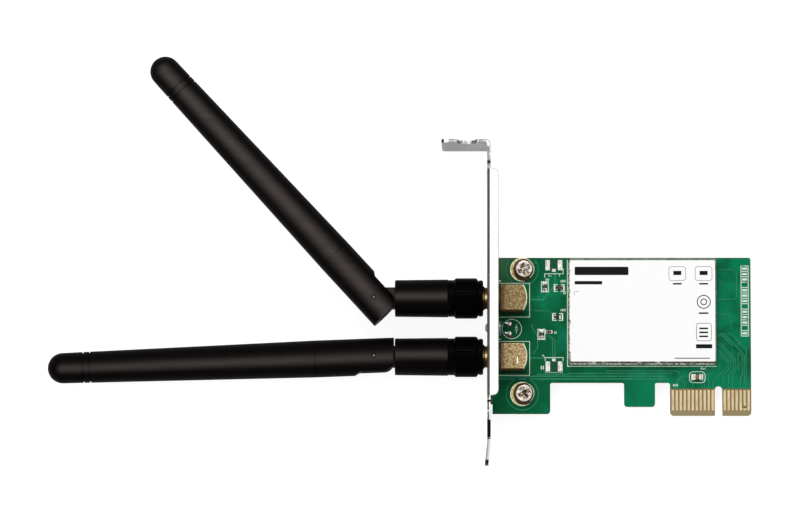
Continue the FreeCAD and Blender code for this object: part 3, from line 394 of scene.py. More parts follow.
def make_bracket_steel():
    """Bright nickel sheet with painted light: dark reflections on bends and slanted cuts, mottled cut edges
    with painted light on them, grey shade on its sides and the tab's underside.
    """
    look = Look("nickel_sheet", (0.93, 0.93, 0.92), 0.26, 1.0, Specular_Tint=(0.72, 0.72, 0.72))
    x, y = look.axis("X"), look.axis("Y")
    out, across, up = (look.normal(name) for name in "XYZ")
    rolled = look.noise(2.2, 5.0, 0.7, stretch=(1, 0.06, 1))
    smudge = look.noise(0.13, 4.0, 0.6, warp=0.5)
    sheared = look.noise(1.1, 6.0, 0.75, warp=0.8)
    color = smudge.blend((0.9, 0.9, 0.89), (0.96, 0.96, 0.955), 0.3, 0.6)
    # painted shade: faces that look sideways or down are painted grey, the upward faces bright
    wide = abs(out).most(abs(across)).step(0.8, 0.9).most(up.step(-0.5, -0.7))
    color = wide.mix(color, smudge.blend((0.44, 0.44, 0.43), (0.56, 0.56, 0.55), 0.3, 0.6))
    # what is seen edge on from above: the sheet's cut edges, the side flange's rim and the long bend
    level = abs(up).step(0.9, 0.95)
    above_flange = y.step(FLANGE_HIGH - 0.1, FLANGE_HIGH + 0.1)
    below_flange = y.step(FLANGE_LOW + 0.1, FLANGE_LOW - 0.1)
    cut = level * x.step(FACE_IN + 0.12, FACE_IN + 0.04) * above_flange.most(below_flange)
    color = cut.mix(color, color_cut_edge(x, y, sheared))
    # painted shade: a grey line along the flange's rounded outline
    color = (near_flange_rim(x, y) * level * 0.85).mix(color, (0.36, 0.35, 0.34))
    # painted dark reflection along the long bend
    bend = out.step(-0.36, -0.48) * up.step(0.02, 0.06) * y.step(NECK_TOP + 0.2, NECK_TOP)
    color = bend.mix(color, sheared.blend((0.06, 0.046, 0.036), (0.17, 0.135, 0.11)))
    # painted light: dark shade on the sides of the tab's slot, dark reflections on its end, the slanted cuts
    # and the tip, then grey shade on its underside
    at_tab = y.step(TAB_UNDER - 0.1, TAB_UNDER)
    slot_side = abs(out).step(0.4, 0.6) * up.step(0.03, 0.12) * sheared.step(0.66, 0.42)
    color = (slot_side * at_tab).mix(color, (0.055, 0.052, 0.046))
    tip = y.step(TIP_TOP + 0.15, TIP_TOP - 0.15) * abs(out).step(0.9, 0.8)
    slant = (across.step(-0.25, -0.45) * up.step(0.25, 0.45)).most(tip)
    end = x.step(bracket_low.x + 0.72, bracket_low.x + 0.62) * at_tab * up.step(0.05, 0.2)
    color = slant.most(end).mix(color, 0.01)
    under = across.step(-0.15, -0.35) * up.step(0.3, 0.1) * y.step(NECK_TOP, NECK_TOP + 0.5)
    color = under.mix(color, rolled.blend(0.1, (0.2, 0.2, 0.195)))
    return look.complete(color, bend.most(slant).mix(rolled * 0.12 + smudge * 0.24 + 0.08, 0.55),
                         (rolled, 0.004), (look.noise(0.35, 2.0), 0.02))


def from_nearer(look, spots):
    """How far a place lies to the right of and above the nearer of an upper and a lower spot."""
    (x, high), (_, low) = spots
    y = look.axis("Y")
    return look.axis("X") - x, y - (y.step(20.0, 20.1) * (high - low) + low)


def make_washer_steel():
    """Blackened spring steel, brown under the head, with a painted highlight on the right part of its rim.
    """
    look = Look("spring_steel", (0.022, 0.016, 0.012), 0.42, 1.0)
    right, above = from_nearer(look, SCREWS)
    tone = look.noise(0.6, 5.0, 0.6)
    dark = tone.blend((0.02, 0.014, 0.01), (0.075, 0.045, 0.018), 0.32, 0.62)
    painted_highlight = tone.blend((0.24, 0.25, 0.16), (0.5, 0.5, 0.36), 0.35, 0.6)
    # painted highlight: on its right part the rim of the top face is painted pale
    rim = right.distance(above).step(2.38, 2.46) * look.normal("Z").step(0.8, 0.9) * right.step(0.8, 1.6)
    return look.finish(rim.mix(dark, painted_highlight), 0.34, 0.5, 1.6, look.noise(6.4, 4.0, 0.65), 0.004)


def make_pad_gold():
    """Gilt pads round the board screws, khaki with a paler rim at the edge of the mask."""
    look = Look("pad_gold", (0.66, 0.52, 0.3), 0.34, 1.0)
    right, above = from_nearer(look, SCREW_PADS)
    tone = look.noise(0.9, 5.0, 0.6)
    inner = tone.blend((0.34, 0.24, 0.1), (0.56, 0.45, 0.22), 0.35, 0.6)
    outer = tone.blend((0.52, 0.5, 0.33), (0.74, 0.73, 0.52), 0.35, 0.6)
    color = right.distance(above).step(2.72, 2.86).mix(inner, outer)
    return look.finish(color, 0.28, 0.4, 2.4, look.noise(9.6, 4.0, 0.65), 0.004)


def make_pin_steel(side):
    """A blackened hinge pin with a painted highlight in the middle of its end."""
    look = Look(f"{side}_pin_steel", (0.036, 0.031, 0.024), 0.35, 1.0)
    low, high = span(f"{side}_hinge_pins")
    middle = (low + high) / 2
    away = (look.axis("X") - middle.x).distance(look.axis("Y") - middle.y)
    painted_highlight = look.noise(2.5, 3.0).blend((0.05, 0.046, 0.042), (0.16, 0.15, 0.14), 0.35, 0.6)
    # painted highlight in the middle of the pin's end; near black round it
    color = away.step(0.26, 0.42).mix(painted_highlight, (0.004, 0.003, 0.002))
    return look.finish(color, 0.3, 0.42, 3.0, look.noise(8.0), 0.004)


def from_cross(look):
    """Distance from the recess in the nearer screw's head, in millimetres."""
    right, above = from_nearer(look, SCREWS)
    cos, sin = math.cos(math.radians(RECESS_TURN)), math.sin(math.radians(RECESS_TURN))
    u, v = abs(right * cos + above * sin), abs(above * cos - right * sin)
    arm, half = RECESS_SPAN / 2, RECESS_WIDTH / 2
    return (u - arm).most(v - half).least((v - arm).most(u - half))


def make_screw_nickel():
    """Nickel screw heads: bright tops, steep walls painted dark as shade, and a recess painted dark as
    shade, with painted glints and a dark outline.
    """
    look = Look("screw_nickel", (0.84, 0.8, 0.77), 0.22, 1.0)
    tone = look.noise(1.3, 4.0, 0.6, warp=0.5)
    glints = look.noise(1.7, 3.0, 0.6, warp=1.0)
    top = tone.ramp((0.34, (0.3, 0.23, 0.17)), (0.5, (0.62, 0.54, 0.47)), (0.62, (0.88, 0.82, 0.76)))
    floor = glints.ramp((0.46, (0.035, 0.022, 0.012)), (0.54, (0.24, 0.18, 0.11)),
                        (0.62, (0.92, 0.88, 0.78)))
    # painted shade: a dark outline round the recess's cross
    rim = from_cross(look).step(0.36, 0.16) * tone.step(0.66, 0.44)
    top = rim.mix(top, (0.055, 0.032, 0.022))
    # painted shade on the recess floor, with painted glints
    color = look.axis("Z").step(SCREW_TOP - 0.06, SCREW_TOP - 0.35).mix(top, floor)
    # painted shade: the steep walls are painted dark
    color = abs(look.normal("Z")).step(0.72, 0.35).mix(color, (0.045, 0.03, 0.022))
    return look.finish(color, 0.16, 0.34, 2.0, look.noise(3.0), 0.01)


def make_tin_sheet():
    """Tinned sheet steel, hazy and smeared, with walls painted greyer as shade; its level rim is tarnished
    where the lid was pressed on, with painted shade below the label and painted dark green shade above and
    beside it.
    """
    look = Look("tinned_sheet", (0.66, 0.63, 0.59), 0.34, 1.0)
    x, y = look.axis("X"), look.axis("Y")
    tarnish = look.noise(0.75, 5.0, 0.72, warp=0.7)
    # painted shade: the walls are greyer than the rim
    wall = look.noise(0.6, 5.0, 0.6).blend((0.36, 0.33, 0.29), (0.66, 0.63, 0.59), 0.32, 0.62)
    rim = tarnish.ramp((0.35, (0.05, 0.036, 0.026)), (0.43, (0.24, 0.2, 0.16)), (0.5, (0.8, 0.77, 0.7)))
    # painted shade: below the label the rim is painted darker
    low = tarnish.ramp((0.46, (0.022, 0.015, 0.011)), (0.55, (0.085, 0.07, 0.056)),
                       (0.63, (0.56, 0.54, 0.48)))
    rim = y.step(label_low.y + 0.05, label_low.y - 0.05).mix(rim, low)
    # painted shade: above and beside the label the rim is painted dark green
    above = y.step(label_high.y - 0.12, label_high.y + 0.02)
    beside = x.step(label_high.x - 0.12, label_high.x + 0.02)
    rim = (above.most(beside) * 0.9).mix(rim, (0.024, 0.066, 0.041))
    color = look.normal("Z").step(0.5, 0.9).mix(wall, rim)
    return look.finish(color, 0.24, 0.45, 1.2, look.noise(4.0), 0.006)


def make_lead_wire():
    """The light's leads: bright where they bend down, painted dark green as shade where they run back to the
    lens.
    """
    look = Look("lead_wire", (0.85, 0.84, 0.82), 0.25, 1.0)
    grey = look.noise(2.4, 4.0, 0.6)
    bright = grey.blend((0.5, 0.46, 0.42), (0.95, 0.94, 0.92), 0.38, 0.55)
    # painted shade: under the lens the leads are painted dark green
    under_lens = look.axis("X").step(lead_bend - 0.1, lead_bend - 0.45)
    return look.finish(under_lens.mix(bright, (0.02, 0.08, 0.045)), 0.16, 0.34, 2.0, grey, 0.006)


def make_solder():
    """Hand-run solder: bright crests, dark residue between, duller at the small parts, painted green as
    shade past the can.
    """
    look = Look("solder", (0.85, 0.84, 0.82), 0.22, 0.6)
    x, y = look.axis("X"), look.axis("Y")
    runs = look.noise(1.1, 4.0, 0.66, warp=0.8)
    bright = runs.ramp((0.36, (0.05, 0.034, 0.022)), (0.43, (0.34, 0.3, 0.24)), (0.49, (0.97, 0.96, 0.93)))
    dull = runs.ramp((0.45, (0.022, 0.016, 0.01)), (0.52, (0.1, 0.085, 0.062)), (0.58, (0.8, 0.8, 0.76)))
    small = x.step(can_left - 0.8, can_left - 1.0) * x.step(-45.0, -44.0)
    # painted shade: past the can's right and top edges the solder is painted green
    painted_green_shade = x.step(can_right - 0.4, can_right - 0.3).most(y.step(can_top - 0.4, can_top - 0.3))
    color = (painted_green_shade * 0.9).mix(small.mix(bright, dull), (0.012, 0.095, 0.048))
    return look.finish(color, 0.14, 0.34, 2.0, runs, 0.03)


def make_paper():
    """Coated label paper with a faint fibre."""
    look = Look("label_paper", (0.955, 0.955, 0.95), 0.45, Specular_IOR_Level=0.3)
    fibre = look.noise(2.2, 5.0, 0.7, stretch=(1, 0.5, 1))
    color = fibre.blend((0.925, 0.925, 0.92), 0.965)
    return look.finish(color, 0.38, 0.52, 1.0, fibre, 0.004)


def make_ink(name, color, roughness=0.5, gaps=0.0, gloss=0.3):
    """Screen-printed ink, thin in places."""
    look = Look(name, color, roughness, Specular_IOR_Level=gloss)
    thin = look.noise(3.5, 4.0, 0.7)
    shade = thin.blend(tuple(c * (0.72 - gaps) for c in color), color, 0.28, 0.5)
    return look.finish(shade, roughness - 0.08, roughness + 0.1, 2.0, thin, 0.005)


def make_covered_copper():
    """Copper under the mask: the same green, slightly paler where it is lifted."""
    look = Look("covered_copper", (0.01, 0.22, 0.11), 0.34, Specular_IOR_Level=0.2)
    color = look.noise(0.7, 3.0).blend((0.006, 0.175, 0.088), (0.03, 0.235, 0.135), 0.35, 0.7)
    return look.finish(color, 0.25, 0.38, 1.2, look.noise(2.4, 3.0), 0.004)


def make_ceramic(name, body, far_body=None):
    """The ceramic middle of a chip part; the parts left of the shield can be fired darker."""
    look = Look(name, body, 0.5, Specular_IOR_Level=0.25)
    tone = look.noise(4.0)
    base = tone.blend(tuple(c * 0.75 for c in body), body)
    if far_body:
        base = look.axis("X").step(-30, -31).mix(base, far_body)
    return look.finish(base, 0.4, 0.6, 3.0, tone, 0.01)


def make_lens():
    """Clear tinted epoxy."""
    look = Look("lens_epoxy", (0.5, 0.8, 0.74), 0.06, Transmission_Weight=0.82, IOR=1.5)
    haze = look.noise(0.9, 3.0)
    return look.complete(haze.blend((0.36, 0.66, 0.6), (0.56, 0.82, 0.77)),
                         haze.blend(0.05, 0.14), (look.noise(1.5, 2.0), 0.004))


# Places, read from the solids

def span(node):
    """Lowest and highest corner of a solid, in millimetres."""
    low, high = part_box(node)
    return low / MM, high / MM


board_low, board_high = span("circuit_board")
TOP, BOTTOM = board_high.z, board_low.z
contacts_low, contacts_high = span("edge_contacts")
TONGUE_LEFT = contacts_low.x
MASK_EDGE = contacts_high.y + 0.35
lid_low, lid_high = span("shield_lid")
can_left, can_right, can_bottom, can_top = lid_low.x, lid_high.x, lid_low.y, lid_high.y
label_low, label_high = span("label")
screws_low, screws_high = span("board_screws")
SCREW_TOP = screws_high.z
HEAD_R = (screws_high.x - screws_low.x) / 2
SCREWS = [(screws_low.x + HEAD_R, y) for y in (screws_high.y - HEAD_R, screws_low.y + HEAD_R)]
SCREW_PADS = [(-47.27, 36.83), (-47.27, 5.43)]
RECESS_WIDTH, RECESS_SPAN, RECESS_TURN = 0.85, 2.7, 25
leads_low, leads_high = span("led_leads")
lead_bend = leads_high.x - 0.75
lead_x, led_y = leads_high.x - 0.25, (leads_low.y + leads_high.y) / 2
jack_low, jack_high = ({side: span(f"{side}_jack_body")[end] for side in SIDES} for end in (0, 1))
pin_low, pin_high = ({side: span(f"{side}_jack_pin")[end] for side in SIDES} for end in (0, 1))
jack_y = {side: (pin_low[side].y + pin_high[side].y) / 2 for side in SIDES}
jack_z = (jack_low["upper"].z + jack_high["upper"].z) / 2
solder_x = pin_high["upper"].x - 0.45
LEG_STEP = 2.54

# The bracket's steel, and where its flange, neck, tab, tongue and tip are
SHEET, BEND_R = 0.86, 0.35
LENS_PROUD = 0.64
bracket_low = span("bracket")[0]
FACE_OUT = span("led_lens")[0].x + LENS_PROUD
FACE_IN = FACE_OUT + SHEET
FLANGE_EDGE = FACE_OUT + 2.85
FLANGE_LOW, FLANGE_HIGH, FLANGE_R = 4.1, 60.8, 1.4
NECK_TOP, TAB_UNDER, TAB_SLOT_OUT = 63.6, 67.3, 5.08
TONGUE_TOP, TIP_TOP = -6.3, -11.7
TONGUE_MID = FACE_OUT + 0.95

# How far print, copper and pads stand out of their face, and how deep they are sunk in it
COPPER, PRINT, PAD, LABEL_PRINT, SUNK = 0.022, 0.03, 0.035, 0.012, 0.01
PRINT_WIDTH = 0.17


# Mesh helpers

def arc(x, y, radius, start=0.0, end=360.0, count=40):
    steps = [math.radians(start + (end - start) * i / count) for i in range(count + 1)]
    return [(x + radius * math.cos(a), y + radius * math.sin(a)) for a in steps]


def rounded(x0, x1, y0, y1, radius, count=5):
    """Corners of a rectangle with rounded corners."""
    points = []
    for x, y, start in ((x1 - radius, y1 - radius, 0), (x0 + radius, y1 - radius, 90),
                        (x0 + radius, y0 + radius, 180), (x1 - radius, y0 + radius, 270)):
        points += arc(x, y, radius, start, start + 90, count)
    return points


def runs_left(outline):
    """Whether an outline runs anticlockwise."""
    return sum(a[0] * b[1] - b[0] * a[1] for a, b in zip(outline, outline[1:] + outline[:1])) > 0


class Sheet:
    """Flat pieces on one face, such as print or copper, gathered in one mesh."""

    def __init__(self, face, height):
        """A negative height is for a face that looks down."""
        self.mesh = bmesh.new()
        self.bottom = (face - math.copysign(SUNK, height)) * MM
        self.top = (face + height) * MM

    def corners(self, outline, z):
        return [self.mesh.verts.new((x * MM, y * MM, z)) for x, y in outline]

    def prism(self, outline):
        """A closed straight-sided piece from its corners, in either order."""
        if runs_left(outline) == (self.top < self.bottom):
            outline = outline[::-1]
        low, high = self.corners(outline, self.bottom), self.corners(outline, self.top)
        self.mesh.faces.new(high)
        self.mesh.faces.new(low[::-1])
        for i in range(len(outline)):
            self.mesh.faces.new((low[i - 1], low[i], high[i], high[i - 1]))

    def rect(self, x0, x1, y0, y1):
        self.prism([(x0, y0), (x1, y0), (x1, y1), (x0, y1)])

    def disc(self, x, y, radius, count):
        self.prism(arc(x, y, radius, count=count)[:-1])

    def loop(self, outer, inner):
        """A closed band between two outlines with the same number of corners."""
        low_out, high_out = self.corners(outer, self.bottom), self.corners(outer, self.top)
        low_in, high_in = self.corners(inner, self.bottom), self.corners(inner, self.top)
        forward = runs_left(outer) == (self.top > self.bottom)
        for i in range(len(outer)):
            for a, b in ((high_out, high_in), (low_in, low_out), (low_out, high_out), (high_in, low_in)):
                quad = (a[i - 1], a[i], b[i], b[i - 1])
                self.mesh.faces.new(quad if forward else quad[::-1])

    def ring(self, x, y, outer, inner, count):
        self.loop(arc(x, y, outer, count=count)[:-1], arc(x, y, inner, count=count)[:-1])

    def line(self, points, width=PRINT_WIDTH, closed=False):
        """A mitred line of even width through the points."""
        spots = [Vector(point) for point in points]
        first, last = spots[-1], spots[0]
        if not closed:
            first, last = spots[0] * 2 - spots[1], spots[-1] * 2 - spots[-2]
        left, right = [], []
        for before, here, after in zip([first] + spots, spots, spots[1:] + [last]):
            inward, outgoing = (here - before).normalized(), (after - here).normalized()
            normal = Vector((-inward.y - outgoing.y, inward.x + outgoing.x)).normalized()
            reach = width / 2 / max(0.35, normal.dot(Vector((-inward.y, inward.x))))
            left.append(tuple(here + normal * reach))
            right.append(tuple(here - normal * reach))
        if closed:
            self.loop(right, left)
        else:
            self.prism(left + right[::-1])

    def finish(self, name, look, slot):
        data = bpy.data.meshes.new(name)
        self.mesh.to_mesh(data)
        self.mesh.free()
        add_piece(name, data, look)


def in_scene(name, data):
    made = bpy.data.objects.new(name, data)
    bpy.context.scene.collection.objects.link(made)
    return made


def add_piece(name, data, look, smooth=False):
    """Put a mesh in the scene as a piece of the card."""
    piece = in_scene(name, data)
    data.materials.append(looks[look])
    data.polygons.foreach_set("use_smooth", [smooth] * len(data.polygons))
    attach(piece, "root")


def mesh_from(name, vertices, faces):
    data = bpy.data.meshes.new(name)
    data.from_pydata([tuple(c * MM for c in v) for v in vertices], [], faces)
    data.validate()
    return data


def tube(rows, closed=False):
    """Vertices and faces of a tube through rows of points; its ends meet or are capped."""
    count = len(rows[0])
    vertices = [point for row in rows for point in row]
    starts = [r * count for r in range(len(rows))]
    faces = []
    for low, high in zip(starts, starts[1:] + starts[:1] if closed else starts[1:]):
        for i in range(count):
            j = (i + 1) % count
            faces.append((low + i, high + i, high + j, low + j))
    if not closed:
        faces += [tuple(range(count)), tuple(range(starts[-1], starts[-1] + count))[::-1]]
    return vertices, faces


def cone(profile, foot, way, count=32):
    """A turned solid on a foot: (height, radius) points, up or down."""
    way = Vector((0, 0, way))
    side = way.orthogonal().normalized()
    other = way.cross(side)
    rows = [[Vector(foot) + way * height + side * x + other * y
             for x, y in arc(0, 0, radius, count=count)[:0:-1]] for height, radius in profile]
    return tube(rows)


def add_tubes(name, tubes, look, smooth=True):
    """One piece from the vertices and faces of several tubes."""
    vertices, faces = [], []
    for more_vertices, more_faces in tubes:
        start = len(vertices)
        vertices += more_vertices
        faces += [tuple(start + i for i in face) for face in more_faces]
    add_piece(name, mesh_from(name, vertices, faces), look, smooth)


# The looks of the solids

PAINTED_HIGHLIGHT_BLACK = (0.047, 0.039, 0.037)
looks = {
    "mask": make_mask(),
    "contacts": make_gold_contacts(),
    "bracket": make_bracket_steel(),
    "screw": make_screw_nickel(),
    "washer": make_washer_steel(),
    "jack": make_cast_gold(),
    "barrel": make_barrel_gold(),
    "lens": make_lens(),
    "tin": make_metal("tinned_wire", (0.8, 0.78, 0.76), 0.3, 0.14, scale=5.0),
    "lead": make_lead_wire(),
    "can": make_tin_sheet(),
    "solder": make_solder(),
    "paper": make_paper(),
    "ink": make_ink("black_ink", (0.006, 0.006, 0.007), gloss=0.06),
    "grey_ink": make_ink("grey_ink", (0.22, 0.22, 0.23), gloss=0.1),
    "print": make_ink("white_print", (0.66, 0.8, 0.69), gaps=0.1),
    "copper": make_covered_copper(),
    "dimple": make_ink("masked_hole", (0.003, 0.06, 0.028), 0.4, gloss=0.15),
    "painted_shade": make_ink("painted_shadow_ink", (0.03, 0.019, 0.012), 0.35),
    "pad_tin": make_metal("pad_tin", (0.84, 0.82, 0.78), 0.3, 0.14, (0.3, 0.27, 0.23), (2.6, 0.7, 1), 4.5),
    "pad_gold": make_pad_gold(),
    "ptfe": make_ink("white_insulator", (0.84, 0.84, 0.82), 0.45),
    "chip": make_black_plastic("moulded_package", (0.02, 0.02, 0.021), 0.42, 0.01, 0.035),
    # the antenna plastics carry painted highlights, leaned and narrowed to suit each part
    "plastic": make_black_plastic("antenna_plastic", painted_highlight=PAINTED_HIGHLIGHT_BLACK),
    "patchy_painted_band": make_black_plastic("upper_blade_plastic", painted_highlight=(0.06, 0.05, 0.047), lean=0.07, tight=12.0),
    "turned": make_black_plastic("base_plastic", painted_highlight=PAINTED_HIGHLIGHT_BLACK, lean=-0.03, tight=42.0),
    "nut": make_black_plastic("nut_finish", (0.001, 0.0007, 0.0005), 0.4, 0.006, 0.012),
    "upper_pin": make_pin_steel("upper"),
    "lower_pin": make_pin_steel("lower"),
    "brass": make_metal("plain_brass", (0.72, 0.52, 0.25), 0.28, 0.14, (0.55, 0.37, 0.16)),
    "capacitor": make_ceramic("capacitor_body", (0.25, 0.13, 0.065), (0.06, 0.035, 0.022)),
    "resistor": make_ceramic("resistor_body", (0.02, 0.018, 0.018)),
    "ferrite": make_metal("ferrite_core", (0.09, 0.09, 0.092), 0.5, 0.2),
}

CARD_LOOKS = {
    "circuit_board": "mask", "edge_contacts": "contacts", "bracket": "bracket", "board_screws": "screw",
    "lock_washers": "washer", "led_lens": "lens", "led_leads": "lead", "shield_frame": "can",
    "shield_lid": "can", "label": "paper", "wifi_chip": "chip", "crystal": "tin", "memory_chip": "chip",
    "radio_amplifiers": "chip", "power_inductor": "ferrite", "chip_capacitors": "capacitor",
    "chip_resistors": "resistor", "bypass_capacitors": "capacitor",
}
SIDE_LOOKS = {
    "jack_body": "jack", "jack_insulator": "ptfe", "jack_pin": "contacts", "coupling_nut": "nut",
    "plug_core": "brass", "plug_insulator": "ptfe", "plug_socket": "contacts", "swivel_base": "turned",
    "hinge_fork": "plastic", "antenna_sleeve": "plastic", "radiator": "brass",
}


def dress(node, look):
    """Give a solid its material."""
    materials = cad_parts[node].data.materials
    materials.clear()
    materials.append(looks[look])


for node, look in CARD_LOOKS.items():
    dress(node, look)
for side in SIDES:
    for node, look in SIDE_LOOKS.items():
        dress(f"{side}_{node}", look)
    dress(f"{side}_hinge_pins", f"{side}_pin")
# the upper blade's fork and sleeve get their own painted highlight
for node in ("hinge_fork", "antenna_sleeve"):
    dress(f"upper_{node}", "patchy_painted_band")


# Board artwork

# x, y, length, width, height and whether it stands across, for each small part in the open
CHIPS = [
    (can_left - 6.1, can_top - 6.9, 1.6, 0.8, 0.8, True),
    (can_left - 2.5, can_top - 7.2, 1.6, 0.8, 0.8, False),
    (can_left - 7.0, can_top - 18.9, 1.6, 0.8, 0.8, True),
    (board_high.x - 13.5, (can_bottom + contacts_high.y) / 2, 2.0, 1.2, 1.1, False),
    (can_left - 2.9, can_top - 14.5, 1.6, 0.8, 0.45, False),
    (can_left - 5.2, can_top - 18.3, 1.0, 0.5, 0.35, False),
]

# lowest and highest place of each empty filter place, and its middle pad
EMPTY_PLACES = [(36.65, 39.2, 36.65), (11.1, 13.6, 14.0)]


def leg_spots(side):
    return [(solder_x + i * LEG_STEP, jack_y[side] + j * LEG_STEP) for i in (-1, 1) for j in (-1, 1)]


def lead_spots():
    return [(lead_x, led_y - LEG_STEP / 2), (lead_x, led_y + LEG_STEP / 2)]


def make_print():
    """White component print: boxes round the parts, and small marks."""
    sheet = Sheet(TOP, PRINT)
    for y in jack_y.values():
        sheet.line([(-54.5, y + 4.15), (-45.4, y + 4.15), (-45.4, y - 4.4), (-54.5, y - 4.4)])
    sheet.rect(-53.5, -52.6, 33.75, 34.15)
    sheet.rect(-53.5, -52.7, 19.0, 19.4)
    # the light: a circle, and a diode in it
    bar, arrow_left, arrow_right = lead_x + 1.95, lead_x + 1.5, lead_x + 2.4
    sheet.line(arc(lead_x + 0.8, led_y - 0.05, 2.45)[:-1], closed=True)
    sheet.line([(bar, led_y + 1.15), (bar, led_y - 1.15)], 0.15)
    sheet.prism([(arrow_left, led_y + 0.5), (arrow_right, led_y + 0.5), (bar, led_y - 0.25)])
    sheet.line([(arrow_left, led_y - 0.3), (arrow_right, led_y - 0.3)], 0.14)
    # the can
    sheet.line([(can_left - 0.44, can_top - 0.1), (can_left - 0.44, can_bottom - 0.56),
                (can_right + 0.1, can_bottom - 0.56)], 0.2)
    # two empty filter places
    sheet.line([(-41.6, 34.8), (-41.6, 35.75), (-36.95, 35.75), (-36.95, 37.1)])
    sheet.line([(-37.9, 35.75), (-37.9, 35.1)])
    sheet.line([(-40.6, 35.6), (-40.6, 35.15), (-39.9, 35.15)], 0.12)
    sheet.line([(-42.0, 15.05), (-41.55, 14.6), (-37.0, 14.6), (-37.0, 13.75)])
    sheet.line([(-41.5, 13.75), (-41.5, 14.6)])
    sheet.disc(-42.05, 15.1, 0.2, 12)
    for i in range(9):
        sheet.rect(-41.5 + i * 0.52, -41.25 + i * 0.52, 10.75, 10.92)
    for x in (-42.6, -42.1):
        sheet.rect(x, x + 0.28, 11.6, 12.5)
    # round the small parts: brackets beside four of them, a rounded box round the one at the tongue
    for x, y, length, width, _, across in CHIPS[:3] + CHIPS[4:5]:
        half_x, half_y = (width / 2, length / 2) if across else (length / 2, width / 2)
        high, low = y + half_y + 0.46, y - half_y - 0.46
        for way in (-1, 1):
            beside = x + way * (half_x + 0.46)
            sheet.line([(x + way * half_x * 0.5, high), (beside, high), (beside, low),
                        (x + way * half_x * 0.3, low)], 0.24)
    x, y = CHIPS[3][:2]
    sheet.line(rounded(x - 1.95, x + 1.95, y - 1.4, y + 1.35, 0.9), closed=True)
    # a plain ladder of cells near the right edge
    left, right, top, cell, cells = 7.75, 9.55, 37.7, 1.36, 13
    for i in range(cells + 1):
        y = top - i * cell
        sheet.rect(left, right, y - 0.11, y + 0.11)
        if i < cells and i % 4 != 3:
            sheet.rect(left + 0.28, right - 0.28, y - cell + 0.4, y - 0.4)
    for x in (left, right):
        sheet.rect(x - 0.1, x + 0.1, top - cells * cell - 0.11, top + 0.11)
    # reference marks, drawn as plain ticks
    for x, y, count in ((-41.4, 34.0, 3), (-37.6, 33.6, 4), (-37.6, 26.3, 4), (-39.2, 20.6, 2),
                        (-2.5, 11.55, 4), (-9.45, 7.35, 4), (-36.9, 30.6, 2)):
        for i in range(count):
            tick = x + i * 0.34
            sheet.rect(tick, tick + 0.2, y, y + (0.62 if i % 2 else 0.5))
    sheet.finish("board_print", "print", "paper")


def make_bottom_print():
    """Outlines on the solder side."""
    sheet = Sheet(BOTTOM, -PRINT)
    can = rounded(can_left - 0.3, can_right + 0.3, can_bottom - 0.3, can_top + 0.2, 0.4, 3)
    sheet.line(can, 0.15, closed=True)
    for y in jack_y.values():
        sheet.line(rounded(solder_x - 3.6, solder_x + 3.6, y - 3.6, y + 3.6, 0.3, 3), 0.15, closed=True)
    sheet.finish("bottom_print", "print", "paper")


# Covered tracks: width, then corner points
TRACKS = [
    (0.3, [(-54.2, 9.2), (-10.6, 9.2)]),
    (0.3, [(-54.2, 9.78), (-45.0, 9.78), (-44.6, 9.9), (-11.2, 9.9)]),
    (0.25, [(-43.0, 10.35), (-36.0, 10.35), (-35.5, 10.6), (-9.6, 10.6)]),
    (0.25, [(-26.0, 11.25), (-8.4, 11.25), (-7.6, 10.6)]),
    (0.2, [(-41.0, 20.2), (-39.65, 19.2), (-39.65, 15.2)]),
    (0.2, [(-40.4, 20.3), (-39.05, 19.0), (-39.05, 15.2)]),
    (0.2, [(-44.9, 22.4), (-43.4, 19.9), (-43.4, 17.0), (-44.2, 16.0)]),
    (0.35, [(-45.2, 29.2), (-41.9, 29.2), (-39.0, 33.0), (-38.95, 36.2)]),
    (0.35, [(-45.2, 14.5), (-43.6, 14.5), (-39.2, 14.4)]),
    (0.22, [(1.6, 20.6), (3.4, 20.6), (8.45, 15.2), (8.45, 6.9)]),
    (0.22, [(1.6, 20.1), (3.1, 20.1), (7.95, 14.9), (7.95, 10.2), (7.5, 9.6), (7.5, 6.9)]),
    (0.22, [(4.3, 20.6), (5.2, 20.6), (8.95, 16.6), (8.95, 6.9)]),
    (0.2, [(1.6, 18.4), (2.3, 18.4), (6.2, 14.2), (6.2, 11.2), (5.5, 10.4), (5.5, 6.9)]),
    (0.2, [(1.6, 17.8), (2.1, 17.8), (5.7, 13.9), (5.7, 11.6), (4.5, 10.3), (4.5, 6.9)]),
    (0.2, [(1.9, 16.6), (5.1, 13.3), (5.1, 12.3), (3.2, 10.2), (3.2, 8.9)]),
    (0.2, [(1.9, 15.8), (4.4, 13.2), (4.4, 12.4), (0.6, 8.5), (0.6, 6.9)]),
    (0.2, [(1.4, 12.0), (-0.5, 10.1), (-0.5, 6.9)]),
    (0.2, [(0.6, 11.9), (-0.2, 11.2), (-0.95, 10.4), (-1.5, 8.3), (-1.5, 6.9)]),
    (0.2, [(-0.3, 11.9), (-1.0, 11.35)]),
    (0.2, [(5.6, 17.4), (6.9, 16.1), (6.9, 12.2)]),
    (0.22, [(5.7, 12.6), (8.1, 12.6)]),
    (0.3, [(-5.4, 9.9), (-7.2, 9.9), (-8.5, 8.6), (-8.5, 6.9)]),
    (0.2, [(-6.5, 6.9), (-6.5, 8.2), (-6.9, 8.6)]),
    (0.2, [(-4.5, 6.9), (-4.5, 7.9)]),
    (0.2, [(2.6, 36.8), (5.8, 36.8), (6.6, 36.0), (6.6, 30.0), (6.0, 29.3), (1.7, 29.3)]),
    (0.2, [(1.7, 25.6), (4.4, 25.6), (5.2, 24.8), (5.2, 22.4)]),
    (0.2, [(-44.2, 26.4), (-40.6, 26.4), (-39.8, 25.5)]),
]
